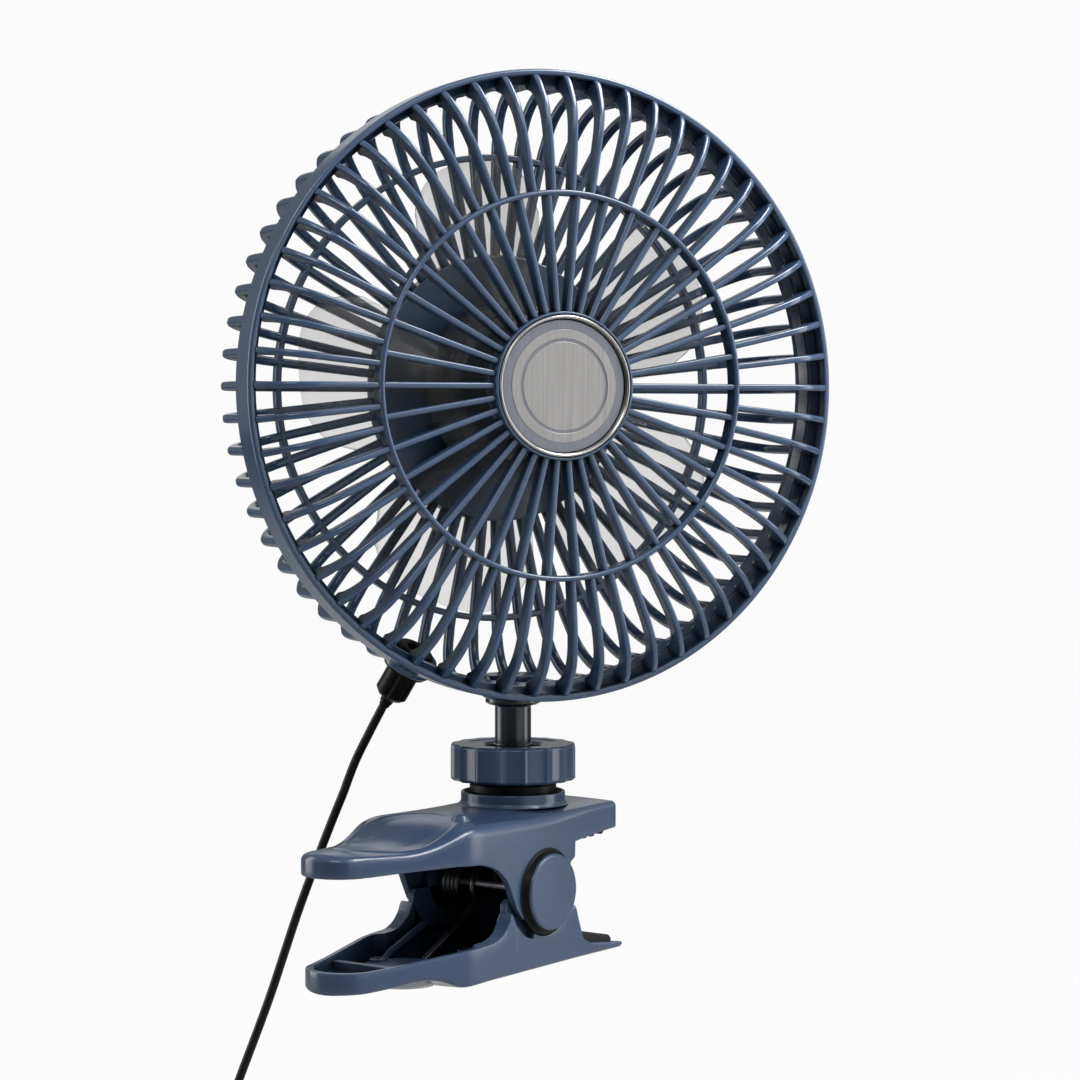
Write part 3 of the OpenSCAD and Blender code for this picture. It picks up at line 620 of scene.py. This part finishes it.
g.strips(front, back, (2.5, 2.3, 2.1, 2.1, 2.1, 2.1), RIB_CORNER, OUTER_RIBS)
g.strips([(23.3, 10.7), (43, 10.9), (MID_R, 11.0)],
         [(23.3, 5.6), (43, 5.6), (MID_R, 5.6)], 2.1, RIB_CORNER, INNER_RIBS)
g.lathe([(62.6, 5.3, 0.5), (64.4, 5.3, 0.5), (64.4, 11.8, 0.85),
         (62.6, 11.8, 0.85)], 192)
g.lathe([(0, 3), (24.5, 3, 0.8), (24.5, 12.2, 0.7), (23.6, 12.2, 0.3),
         (23.6, 5, 0.3), (0, 5)], 128)
g.done("guard_front", navy_deep, "head", HEAD, ("front_guard",),
       square=True)

# the bare badge: a chrome ring, a duller band and two raised brushed discs
turned("badge_ring", chrome, "head", HEAD, ("badge_bezel",), 160, [
    (22.0, 5, 0.2), (23.4, 5, 0.2), (23.4, 12.2, 0.4), (22.9, 12.75, 0.5),
    (22.3, 12.3, 0.3), (22.0, 11.0, 0.2)])
turned("badge_band", brushed_band, "head", HEAD, (), 160, [
    (0, 5), (21.8, 5), (21.8, 10.8, 0.2), (18.6, 10.9), (14.6, 10.85),
    (0, 10.85)])
g = Build()
g.lathe([(15.6, 10.7), (18.6, 10.7), (18.6, 11.1, 0.12), (15.6, 11.15, 0.15)],
        160)
g.lathe([(0, 10.7), (14.6, 10.7), (14.6, 11.05, 0.15), (0, 11.05)], 160)
g.done("badge_plate", brushed, "head", HEAD, ("badge_disc",))

# -------------------------------------------------------------- rear guard
# a rear fin runs from e, where it stands in the rim, over the bend to
# the plate
e = 103.8
REAR_FINS = 60
g = Build()
g.lathe([(99.4, -15.5, 0.5), (104.4, -15.5, 0.7), (104.4, -12.5, 0.4),
         (102.3, -12.5, 0.1), (102.3, -7.4, 0.4), (100.3, -7.4, 0.4),
         (99.4, -12.5, 0.2)], 256)
front = [(e, -12.9), (e, -31), (e - 1.6, -37.5), (e - 5.2, -43),
         (e - 10.6, -46.8), (e - 17.6, -49), (79.6, -50), (45.4, -51)]
back = [(e - 3.6, -12.9), (e - 3.6, -30.5), (e - 4.6, -35.6),
        (e - 7.4, -40), (e - 11.6, -43.2), (e - 17.8, -45.2),
        (79.6, -46.2), (45.4, -47.2)]
g.strips(front, back, 3.0, 1.1, REAR_FINS)
g.lathe([(78.5, -50.5, 0.9), (80.7, -50.5, 0.9), (80.7, -46.2, 0.6),
         (78.5, -46.2, 0.6)], 192)
g.lathe([(0, -46.8), (43, -46.8, 0.3), (43, -53, 0.4), (46, -53, 1.0),
         (46, -44.4, 1.0), (0, -44.4)], 128)
# bosses for the stem and for the socket
FLANGE = -106.0  # where the stem meets the guard
g.lathe([(2.4, 0, 0.3), (10.4, 0, 0.6), (10.4, 8, 0.6), (2.4, 8)], 64,
        Matrix.Translation((0, 0, -HUB_FRONT)) @ Matrix.Rotation(
            math.radians(-90), 4, "X") @ Matrix.Translation((0, 0, FLANGE)))
at_plug = (Matrix.Rotation(-PLUG_TURN, 4, "Z")
           @ Matrix.Translation((0, -GUARD_R, -SOCKET_BACK))
           @ Matrix.Rotation(math.radians(90) + PLUG_LEAN, 4, "X"))
g.lathe([(6.6, -5, 0.2), (8.9, -5, 0.8), (8.9, 1.2, 0.9), (6.6, 1.2, 0.3)],
        48, at_plug)
g.done("guard_rear", navy_deep, "head", HEAD, ("rear_guard",), square=True)

# socket flange and barrel plug: a body with grip flutes and a short sleeve
plug_place = (HEAD @ Matrix.Translation(at_plug.translation * MM)
              @ at_plug.to_3x3().to_4x4())
turned("power_socket", black, "head", plug_place, ("dc_socket",), 48, [
    (3.1, -6.5, 0.2), (6.3, -6.5, 0.3), (6.3, 1.2, 0.1), (7.9, 1.2, 0.3),
    (7.9, 2.2, 0.4), (3.1, 2.2, 0.3)])


def fluted(profile, flutes, depth, reach):
    """A lathe with soft flutes where reach is: lowest and highest z, and
    the radius that the wall has to pass."""
    p = fillet(profile, False, 4)
    v, n = [], 96
    for t in np.linspace(0, 2 * np.pi, n, endpoint=False):
        cut = depth * max(0.0, math.cos(flutes * t)) ** 3
        for r, z in p:
            if reach[0] < z < reach[1] and r > reach[2]:
                r -= cut
            v.append((r * math.cos(t), r * math.sin(t), z))
    return np.array(v), grid(n, len(p), True, False)


v, f = fluted([(0, -4), (2.8, -4, 0.3), (2.8, 2.3), (5.2, 2.3, 0.2),
               (5.7, 2.8, 0.2), (5.7, 5, 0), (5.7, 9, 0), (5.7, 11.8, 0.4),
               (4.3, 13.2, 0.4), (2.7, 13.2, 0.2), (2.5, 14.2, 0.1),
               (2.1, 14.5, 0.1), (2.3, 14.9, 0.1), (2.2, 15.7, 0.1),
               (1.85, 16.0, 0.1), (1.95, 16.4, 0.1), (1.8, 17.2, 0.1),
               (0, 17.2)], 6, 0.75, (2.5, 12.6, 4.5))
Build().put(v, f).done("barrel_plug", black, "head", plug_place,
                       ("cord_plug",))

# ------------------------------------------------------ motor and impeller
turned("motor_cover", dark, "head", HEAD, ("motor_housing",), 96, [
    (21, -44.4), (24.6, -44.4), (24.6, -29, 1.0), (22, -25.6, 1.2),
    (5, -25.6, 0.3), (5, -28), (21, -28)])
g = Build()
g.lathe([(26.8, -41, 0.3), (29, -41, 0.5), (29, -21, 1.5),
         (27.0, -18.0, 1.2), (24, -17, 1.0), (0, -16.4), (0, -18.8),
         (23.6, -19.4, 1.0), (26.8, -22, 1.0)], 128)
g.lathe([(1.6, -24.6, 0.2), (5, -24.6, 0.4), (5, -17.6), (1.6, -17.6)], 48)
BLADES, BLADE_ROOT, BLADE_TIP, BLADE_Z = 5, 27.2, 78.6, -31
FIRST_BLADE = 33  # degrees from the head's x axis


def blade():
    """One paddle: rounded tip, arched section, pitch easing to the tip."""
    n, m = 22, 20  # steps along and across
    top, low = [], []
    for j in range(m + 1):
        t = -1 + 2 * j / m
        over = max(0.0, (abs(t) - 0.35) / 0.65)
        tip = BLADE_TIP - 15.5 * (1 - math.sqrt(max(0.0, 1 - over ** 2.2)))
        for i in range(n + 1):
            r = BLADE_ROOT + (tip - BLADE_ROOT) * i / n
            lead = np.interp(r, (27, 38, 50, 60, 70, 79),
                             (12.5, 18.5, 25.5, 29.5, 31.0, 30))
            trail = np.interp(r, (27, 38, 50, 60, 70, 79),
                              (12, 16, 22, 26, 27, 26))
            y = t * lead if t < 0 else t * trail
            pitch = math.radians(np.interp(r, (27, 79), (24, 17.5)))
            c, s = math.cos(pitch), math.sin(pitch)
            arch = 2.6 * (1 - t * t)
            edge = min(1.0, (1 - abs(t)) * 7, (n - i) / n * 12)
            th = 0.9 * math.sqrt(max(0.0, 1 - (1 - edge) ** 2)) + 0.02
            x = math.sqrt(max(1.0, r * r - y * y))
            for h, out in ((arch + th, top), (arch - th, low)):
                out.append((x, y * c - h * s, BLADE_Z + y * s + h * c))
    k = (n + 1) * (m + 1)
    f = grid(m + 1, n + 1)
    fb = [tuple(q + k for q in x[::-1]) for x in f]
    rim = ([i for i in range(n + 1)]
           + [j * (n + 1) + n for j in range(1, m + 1)]
           + [m * (n + 1) + i for i in range(n - 1, -1, -1)]
           + [j * (n + 1) for j in range(m - 1, 0, -1)])
    side = [(rim[i], rim[(i + 1) % len(rim)], rim[(i + 1) % len(rim)] + k,
             rim[i] + k) for i in range(len(rim))]
    return top + low, f + fb + side


v, f = blade()
for i in range(BLADES):
    g.put(v, f, Matrix.Rotation(math.radians(FIRST_BLADE + 360 / BLADES * i),
                                4, "Z"))
g.done("fan_blades", smoke, "rotor", HEAD, ("impeller",), angle=60,
       weighted=False)
turned("spinner_cap", grey, "rotor", HEAD, ("impeller_cap",), 64, [
    (1.8, -16.4), (9, -16.4, 0.3), (9, -14.6, 0.5), (7, -12.9, 0.8),
    (0, -12.4), (0, -14.2), (1.8, -14.2)])

# -------------------------------------------------------------- rear cover
cover = Build()
SCREW_R = 32  # the four screws stand on this circle
cover.lathe([(40.3, -46.8), (42.7, -46.8, 0.3), (42.7, -57.4, 1.6),
             (41.0, -60.2, 1.6), (38.0, -61.2, 1.4), (24, -61.75),
             (7.5, -62.0, 0.5), (7.5, -59.2), (24, -59.0), (37, -58.6),
             (40.3, -56)], 128)
for i in range(4):
    a = math.radians(90 * i + 45)
    place = Matrix.Translation((SCREW_R * math.cos(a),
                                SCREW_R * math.sin(a), 0))
    cover.lathe([(2.6, -61.9, 0.2), (4.4, -61.9, 0.4), (4.6, -61.0, 0.2),
                 (3.6, -59), (3.6, -46.8), (0, -46.8), (0, -59.6),
                 (2.6, -59.6)], 40, place)
# four indicator holes below the button
for i in range(4):
    place = Matrix.Translation((-4.5 + 3 * i, -20, 0))
    cover.lathe([(0.8, -62.0, 0.1), (1.15, -62.05, 0.15), (1.25, -61.5),
                 (0.8, -61.5)], 24, place)
# a ring of short ribs gives the fingers a hold round the button
for i in range(36):
    place = Matrix.Rotation(math.radians(10 * i + 5), 4, "Z")
    cover.block((13.0, -0.35, -62.15), (16.5, 0.35, -61.4), 0.25, place)
cover.done("cover_rear", navy, "head", HEAD, ("rear_cover",), square=True)
turned("push_button", grey, "button", HEAD, ("power_button",), 64, [
    (0, -63.15), (5.4, -63.4, 0.6), (7.2, -62.2, 0.6), (7.2, -59.2, 0.2),
    (9, -59.2, 0.2), (9, -58.2), (3, -58.2), (2, -55.4), (0, -55.4)])

# ---------------------------------------------------------- stem and knob
KNOB_Z, KNOB_H = -134.2, 12.5
KNOB_TOP = KNOB_Z + KNOB_H
turned("stem", dark, "head", S, ("ball_stem",), 96, [
    (0, -148), (3.2, -147.4, 1.5), (7.2, -144.4, 2.5), (9.0, -139, 3.5),
    (7.2, -133.6, 2.5), (3.6, -130.8, 1.0), (3.6, -127.0, 0.4),
    (6.0, -126.5, 0.4), (6.2, KNOB_TOP - 1.5, 0.1),
    (6.7, KNOB_TOP - 1.3, 0.3), (6.7, KNOB_TOP - 0.2, 0.3),
    (6.2, KNOB_TOP + 0.1, 0.1), (6.2, FLANGE - 2.7, 0.5),
    (8.2, FLANGE - 2.4, 0.3), (9.45, FLANGE - 1.7, 0.6),
    (9.45, FLANGE, 0.3), (0, FLANGE)])


def knob():
    """A lathe with broad shallow scallops and crisp ridges between them."""
    h, wide, scallops = KNOB_H, 21.8, 16
    prof = fillet([(13.9, 0, 0), (20.6, 0, 0.4), (wide, 0.9, 0.5),
                   (wide, 4, 0), (wide, 8, 0), (wide, h - 0.9, 0.6),
                   (20.9, h, 0.5), (16.4, h, 0.2), (15.9, h - 0.35, 0.1),
                   (11.4, h - 0.35, 0.2), (9.9, h - 1.2, 0.4),
                   (9.9, 6.6, 0.1), (13.9, 6.4, 0)], True, 4)
    n = scallops * 24
    pitch = 2 * math.pi / scallops
    first = math.radians(14.75)
    v = []
    for i in range(n):
        t = 2 * math.pi * i / n
        d = (t - first) % pitch
        d = min(d, pitch - d)
        cut = 1.15 * max(0.0, 1 - (d / (pitch / 2)) ** 2.4)
        for r, z in prof:
            if r > 19.6:
                r = min(r, wide - cut - max(0.0, (wide - r)) * 0.65)
            v.append((r * math.cos(t), r * math.sin(t), z + KNOB_Z))
    return Build().put(v, grid(n, len(prof), True, True))


knob().done("knob", navy, "knob", S, ("lock_knob",), angle=34)
turned("collar_ring", navy, "clamp", S, ("collar",), 128, [
    (13.7, DECK - 0.2), (18.9, DECK - 0.2), (18.5, DECK, 0.4),
    (17.9, DECK + 1.0, 0.9), (17.9, DECK + 4.2, 0.6),
    (16.9, DECK + 4.2, 0.4), (16.5, DECK + 2.6, 0.3),
    (13.7, DECK + 2.6, 0.3)])
g = Build()
g.lathe([(12.05, -152, 0.2), (13.4, -152, 0.2), (13.4, -129.4, 0.4),
         (12.05, -129.4, 0.3)], 96)
# five turns of thread, which run out at both ends
helix = []
THREADS, FACETS, LEAD = 5, 48, 1.35
last = THREADS * FACETS
for k in range(last + 1):
    a = 2 * math.pi * k / FACETS
    r = 13.15 + 0.35 * min(1.0, 2 * k / FACETS, 2 * (last - k) / FACETS)
    helix.append((r * math.cos(a), r * math.sin(a),
                  -137.9 + LEAD * k / FACETS))
g.tube(helix, 0.42, 8)
# neck ring between the collar and the knob
g.lathe([(13.2, DECK + 2.7), (14.9, DECK + 2.7, 0.3), (14.9, -135.6, 0.5),
         (14.3, -134.7, 0.3), (13.2, -134.7)], 96)
g.done("threaded_collet", black, "clamp", S, ("socket_collet",))


# ------------------------------------------------------------ clamp shells
HALF = 24.0
NOSE_U, NOSE_L = -90.4, -87.2
TAPER_FROM, TAPER_DEG = -51.7, 15.5
TAPER = math.radians(TAPER_DEG)
LIP = 0.55  # rounding of a shell's open edge
side_w = eased([-140, TAPER_FROM, 60],
               [HALF - (140 + TAPER_FROM) * math.tan(TAPER), HALF, HALF],
               2.4)


def nose_radius(nose):
    """The circle round (nose, 0) that touches both slanted sides."""
    return (HALF + (nose - TAPER_FROM) * math.tan(TAPER)) * math.cos(TAPER)


def half_width(x, nose):
    """Half of the clamp's width at x, round the nose too."""
    r = nose_radius(nose)
    d = np.clip(x - nose, -r, 0)
    end = np.sqrt(np.maximum(0.01, r ** 2 - d ** 2))
    return np.where(x < nose - r * math.sin(TAPER), end, side_w(x))


def half_plan(x_end, nose, xs, r_end=2.2):
    """Near half of the outline, jaw end to handle tip: point and normal."""
    w = HALF - r_end
    out = [(x_end, -y, 1.0, 0.0) for y in np.linspace(0, w, 7)]
    for a in (-15, -30, -45, -60, -75, -90):
        c, s = math.cos(math.radians(a)), math.sin(math.radians(a))
        out.append((x_end - r_end + r_end * c, r_end * s - w, c, s))
    r = nose_radius(nose)
    xt = nose - r * math.sin(TAPER)
    for x in xs:
        if xt + 0.4 < x < x_end - r_end - 0.3:
            g = float(side_w(x + 0.05) - side_w(x - 0.05)) / 0.1
            q = unit((-g, -1.0))
            out.append((x, -float(side_w(x)), q[0], q[1]))
    for a in np.linspace(-90 - TAPER_DEG, -180, 20):
        c, s = math.cos(math.radians(a)), math.sin(math.radians(a))
        out.append((nose + r * c, r * s, c, s))
    return np.array(out)


def clamp_shell(plan, top, bottom, inner, wall, round_top, cols=44):
    """A closed shell: outer wall, rounded edge, crowned top, inner face."""
    px, py, nx, ny = plan.T
    rt, t = round_top(px), wall(px)

    def ring(inset, z):
        return np.stack([px - nx * inset, py - ny * inset, z], -1)

    zb = bottom(px)
    edge_top = top(px - nx * rt, py - ny * rt)
    near = [ring(LIP, zb), ring(LIP * 0.3, zb + LIP * 0.3),
            ring(0 * px, zb + LIP)]
    z0, z1 = zb + LIP, edge_top - rt
    for q in (0.34, 0.67):
        near.append(ring(0 * px, z0 + (z1 - z0) * q))
    for a in np.radians(np.linspace(0, 90, 7)):
        near.append(ring(rt * (1 - math.cos(a)), z1 + rt * math.sin(a)))
    flip = np.array([1, -1, 1])

    def across(side, height):
        """Up one side, over to the other one and down it again."""
        x, y0 = side[-1][:, 0], side[-1][:, 1]
        mid = []
        for j in range(1, cols):
            y = y0 * (1 - 2 * j / cols)
            mid.append(np.stack([x, y, height(x, y)], -1))
        side = np.array(side)
        return np.concatenate([side, mid, side[::-1] * flip])

    # inner side, from the near lip up, across and down again
    ri = np.minimum(1.2, t * 0.4)
    b0 = ring(t + ri, zb)
    zi = np.maximum(inner(b0[:, 0], b0[:, 1], zb), zb + 0.001)
    r2 = np.minimum(ri, (zi - zb) * 0.4)
    inn = [ring(t - np.minimum(LIP, t * 0.3), zb),
           ring(t, zb + np.minimum(LIP, (zi - zb) * 0.3)),
           ring(t, zi - r2), ring(t + ri * 0.3, zi - r2 * 0.3),
           ring(t + ri, zi)]
    inside = across(inn, lambda x, y: np.maximum(inner(x, y, zb),
                                                 zb + 0.001))
    loop = np.concatenate([across(near, top), inside[::-1]])
    v = loop.transpose(1, 0, 2)
    return v.reshape(-1, 3), grid(len(v), v.shape[1], False, True)


def step(x, a, b):
    """From zero at a to one at b, without a kink."""
    q = np.clip((x - a) / (b - a), 0, 1)
    return q * q * (3 - 2 * q)


def stations(*parts):
    """Where the outline has points, closer together at its bends."""
    return sorted(set(np.round(np.concatenate(parts), 3)), reverse=True)


# the upper lever, written from the deck: top line, crown and thumb rest
base_line = eased([-125, -104, -92, -83, -75, -70, -65.5, -61, -54.6, -50,
                   -46, -41, 40],
                  [-6.6, -6.6, -6.5, -6.8, -7.0, -6.6, -5.6, -4.0, -1.5,
                   -0.5, -0.1, 0, 0], 1.8)
crown = eased([-130, -52, -40, -20, 0, 14, 26, 40],
              [1.5, 1.5, 2.1, 2.3, 1.7, 0.9, 0.4, 0.4], 4)
# the thumb rest's egg-shaped border, from the nose end round to the deck
egg = smooth([(-88.6, 0), (-88.0, 3.2), (-85, 7), (-79, 11.2), (-70, 15.6),
              (-60, 17.4), (-52, 16.4), (-46, 12.4), (-42.2, 6.6),
              (-41, 0)], 12)


def upper_top(x, y):
    x, y = np.broadcast_arrays(np.asarray(x, float), np.asarray(y, float))
    w = np.maximum(half_width(x, NOSE_U), 6.0)
    z = base_line(x) - crown(x) * np.minimum(1, np.abs(y) / w) ** 2.2
    # thumb dish with a fine raised line round it
    d = np.min(np.hypot(x[..., None] - egg[:, 0],
                        np.abs(y)[..., None] - egg[:, 1]), -1)
    inside = np.abs(y) < np.interp(x, egg[:, 0], egg[:, 1], 0, 0)
    d = np.where(inside, -d, d)
    return z - 0.55 * step(-d, 0.2, 7) + 0.42 * np.exp(-(d / 0.95) ** 2)


# lower edge of the upper lever's side, from the handle to the pivot
edge_x = [-125, -91, -83, -72, -59, -49, -45.9, -42.5,
          -39.6, -37.2, -35.1, -33.7, -32.6, -31.8, -28.7, -27, -25, -20]
edge_z = [-14.4, -14.3, -14.1, -14.0, -13.9, -14.3, -14.8, -15.7,
          -17.0, -18.5, -20.3, -22.0, -23.8, -25.6, -31.6, -33.6, -35.2,
          -35.9]
EAR_R = 13.5  # round ears about the pivot


def upper_bottom(x):
    z = np.interp(x, edge_x, edge_z)
    disc = PIVOT[2] - DECK - np.sqrt(np.maximum(
        0, EAR_R ** 2 - (x - PIVOT[0]) ** 2))
    z = np.where(np.abs(x - PIVOT[0]) < EAR_R, np.minimum(z, disc), z)
    z = np.where((x > 0.8) & (x < 3.6), -22 + 0.605 * (x + 4), z)
    under = np.interp(x, (3.6, 17.8, 30), (-12.1, -10.4, -9.4))
    return np.where(x >= 3.6, under, z)


def upper_inner(x, y, zb):
    z = upper_top(x, y) - 2.8
    return z + (zb - z) * step(x, -3, 1)


plan_u = half_plan(28.6, NOSE_U, stations(
    np.arange(-94, -38, 0.7), np.arange(-38, 29, 1.25),
    np.linspace(-38, -24, 16),
    [-26.4, -26.2, -26.0, 0.3, 0.7, 0.95, 3.4, 3.65]))
v, f = clamp_shell(
    plan_u, upper_top, upper_bottom, upper_inner,
    lambda x: np.full_like(x, 2.6),
    eased([-130, -60, -54, -46, -10, 4, 12, 40],
          [2.3, 2.4, 3.0, 3.9, 3.8, 2.6, 1.9, 1.9], 2.5), 72)
v[:, 2] += DECK
g = Build().put(v, f)
# socket under the collet, and two ribs along the handle
g.lathe([(0, DECK - 11.6), (15.8, DECK - 11.6, 0.6), (15.8, DECK - 2.5),
         (0, DECK - 2.5)], 64)
# small rounded stop beside the collar
g.lathe([(0, DECK - 2.4), (4.2, DECK - 2.4), (3.4, DECK - 0.8, 1.6),
         (2.2, DECK + 1.1, 1.6), (0, DECK + 1.5, 2.0)], 40,
        Matrix.Translation((-44.6, -12.6, 0)))
for y in (-12, 12):
    g.plate([(2.5, DECK - 2.2), (-45, DECK - 2.4), (-67, DECK - 8.4),
             (-78, DECK - 9), (-78, DECK - 12), (-66, DECK - 12),
             (-52, DECK - 10.2), (2.5, DECK - 10.2)],
            y - 0.9, y + 0.9, 0.3)
g.done("clamp_upper", navy, "clamp", S, ("upper_jaw",), angle=32)

# the lower lever is written upside down, so that its sole is the top
sole = eased([-125, -104, -91.5, -85, -79, -74.5, -70, -66.7, -62.5, -59.4,
              -56, -52.8, -43.7, -30, 6.8, 31.4, 45],
             [52.0, 52.0, 51.8, 51.4, 50.9, 50.4, 50.3, 50.5, 51.5, 52.8,
              54.2, 54.2, 53.7, 53.4, 52.6, 52.3, 52.3], 1.3)


def lower_top(x, y):
    w = np.maximum(half_width(x, NOSE_L), 6.0)
    return sole(x) - 0.6 * np.minimum(1, np.abs(y) / w) ** 3


# upper edge of the lower lever's side, from the handle to the pivot
rim_x = [-125, -91, -81, -70, -53, -44.4, -41.5, -39.7, -37.9, -36.2,
         -34.6, -33.2, -32.3, -31.8, -31.3, -30.6, -29.4, -27, -25, -22.5,
         -20]
rim_z = [44.6, 44.5, 44.0, 43.1, 41.7, 41.0, 40.8, 40.4, 39.7, 38.7,
         37.2, 35.4, 33.4, 32.2, 32.3, 33.6, 36.0, 38.4, 40.0, 41.4,
         42.0]
RIM_R = EAR_R + 1.4  # keeps clear of the upper lever's ears


def lower_rim(x):
    z = np.interp(x, rim_x, rim_z)
    arc = DECK - PIVOT[2] + np.sqrt(np.maximum(
        0, RIM_R ** 2 - (x - PIVOT[0]) ** 2))
    z = np.where((x > -20) & (x < 0.2), arc, z)
    front = np.interp(x, (0.2, 2.4, 4.15, 5, 8, 9.8, 13, 33),
                      (35.5, 34.4, 33.8, 36.8, 44.8, 46.4, 48, 50.4))
    return np.where(x >= 0.2, front, z)


def lower_in(x, y, zb):
    z = sole(x) - 2.7
    return z + (zb - z) * step(x, 2.2, 5.2)


plan_l = half_plan(32.9, NOSE_L, stations(
    np.arange(-94, 32, 1.25), np.linspace(-46, -18, 40),
    np.linspace(-1, 12, 20)), 3.0)
v, f = clamp_shell(
    plan_l, lower_top, lower_rim, lower_in,
    lambda x: 2.6 + 2.9 * step(x, -48.5, -46) * (1 - step(x, 4, 7)),
    eased([-130, 45], [1.6, 1.6], 3))
v[:, 2] = DECK - v[:, 2]
g = Build().put(v, f)
inner_wall = [(-31.2, -29.6), (-29.8, -28.3), (-28, -28), (-6, -28),
              (-1, -29.6), (4.0, -33.8), (4.0, -44), (-31.2, -44)]
ear = [(PIVOT[0] + 10 * math.cos(t), PIVOT[2] + 10 * math.sin(t))
       for t in np.radians(np.linspace(0, 345, 48))]
for s in (-1, 1):
    y0, y1 = sorted((s * 18.5, s * 21.1))
    g.plate([(x, z + DECK) for x, z in inner_wall], y0, y1, 0.3)
    g.plate(ear, y0, y1, 0.3)
g.block((-79, -14, DECK - 49.5), (-77, 14, DECK - 45), 0.4)
g.block((-30, -0.9, DECK - 51), (2, 0.9, DECK - 47), 0.4)
g.block((1.2, -18.6, DECK - 50.5), (3.0, 18.6, DECK - 34.0), 0.4)
g.tube([(-29.0, 15, -181.4), (-36, 15, -184.2), (-48.6, 15, -189.2),
        (-52, 15, -191.5)], 1.3, 12)
g.lathe([(0, DECK - 49.6), (12.8, DECK - 49.6), (12.8, DECK - 47.4, 0.8),
         (0, DECK - 47.4)], 64, Matrix.Translation((-61, 0, 0)))
g.lathe([(0, DECK - 51), (3.0, DECK - 51), (3.0, DECK - 46.6, 0.4),
         (1.4, DECK - 46.6, 0.2), (1.4, DECK - 49), (0, DECK - 49)], 32,
        Matrix.Translation((-60, 10.5, 0)))
g.done("clamp_lower", navy, "lever", S, ("lower_jaw",), angle=32)

turned("round_foot", foot_mat, "lever", S, ("base_pad",), 64, [
    (0, DECK - 49.1), (11.2, DECK - 49.1), (11.2, DECK - 53.2, 0.2),
    (10.8, DECK - 54.1, 0.5), (9.2, DECK - 54.1, 0.2),
    (8.8, DECK - 53.6, 0.2), (0, DECK - 53.6)],
    Matrix.Translation((-59, 0, 0)))

# gripping pads with rounded teeth
for name, body, replaced, half, teeth in (
        ("pad_upper", "clamp", "upper_pad", 19.7,
         [(14.5, -8), (26.3, -8), (26.3, -11.0), (25.6, -11.8),
          (24.6, -12.1), (23.4, -11.9), (22.3, -11.2), (21.2, -11.3),
          (20.2, -12.3), (19.0, -12.4), (17.9, -11.6), (16.8, -11.6),
          (15.9, -12.5), (14.5, -12.6)]),
        ("pad_lower", "lever", "lower_pad", 20,
         [(15, -48.4), (30, -50.2), (30, -48.8), (28.6, -47.5),
          (27.2, -47.5), (25.6, -48.2), (24.4, -47.9), (23.0, -46.9),
          (21.8, -46.9), (20.4, -47.6), (19.2, -47.3), (17.8, -46.3),
          (16.6, -46.2), (15, -46.8)])):
    g = Build().plate([(x, z + DECK) for x, z in teeth], -half, half, 0.35)
    g.done(name, rubber, body, S, (replaced,), angle=25)

# a cap on each side of the pivot, ringed by a black band and washer that are
# painted shade for the shadow gap round it, and the pin
caps, shadow_rings = Build(), Build()
for s in (-1, 1):
    place = (Matrix.Translation((PIVOT[0], s * HALF, PIVOT[2]))
             @ Matrix.Rotation(math.radians(-90 * s), 4, "X"))
    caps.lathe([(2.8, -0.05, 0.1), (12.8, -0.05, 0.1), (12.8, 3.3, 0.9),
                (0, 3.35), (0, 1.6), (2.8, 1.6)], 96, place, 6)
    # black ring and cone: painted shade where the cap meets the jaw
    shadow_rings.lathe([(12.6, 0), (14.6, 0, 0.1), (14.6, 0.2, 0.1),
                   (13.7, 0.5, 0.3), (13.0, 2.2, 0.2), (12.6, 2.3)],
                  96, place)
caps.done("caps", navy, "clamp", S, ("pivot_caps",))
shadow_rings.done("cap_painted_shadow", black, "clamp", S)
turned("hinge_pin", pin_mat, "clamp", S, ("pivot_pin",), 48, [
    (0, -25.3), (2.1, -25.3), (2.5, -24.9), (2.5, -18.0, 0.3),
    (1.0, -17.4, 0.3), (1.0, 17.4, 0.3), (2.5, 18.0, 0.3), (2.5, 24.9),
    (2.1, 25.3), (0, 25.3)],
    Matrix.Translation(Vector(PIVOT))
    @ Matrix.Rotation(math.radians(90), 4, "X"))
SPRING_R = 6.5  # from the pin's axis to the wire's
TURN = 32  # points on one turn


def spring(y0, y1, turns, first, wire, leg):
    """Wire round the pin, from the angle first, that ends in a leg."""
    pts = []
    for k in range(int(turns * TURN) + 1):
        a = math.radians(first) + 2 * math.pi * k / TURN
        pts.append((PIVOT[0] + SPRING_R * math.cos(a),
                    y0 + (y1 - y0) * k / (turns * TURN),
                    PIVOT[2] + SPRING_R * math.sin(a)))
    pts += [(x, y1, z) for x, z in leg]
    bend = smooth(pts[-4:], 5)[1:]
    return Build().tube(np.vstack([pts[:-3], bend]), wire, 14)


spring(9.2, 16.6, 4, 100, 0.9, [(-24, -159.0), (-42, -154.4), (-60, -151.6)]
       ).done("spring_coil", spring_mat, "clamp", S, ("torsion_spring",))
spring(2.7, 2.7, 0.75, -47, 1.0, [(-24, -180.0), (-34, -185.0),
                                  (-45.5, -190.8)]
       ).done("spring_end", spring_mat, "lever", S, ("spring_leg",))

# CAD nodes that stay get their own finish
for name, mat in (("motor_can", steel), ("motor_shaft", steel),
                  ("cover_screws", steel), ("circuit_board", board),
                  ("ball_seat", grey)):
    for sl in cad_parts[name].material_slots:
        sl.material = mat

# bring the scene's matrices up to date
bpy.context.view_layer.update()
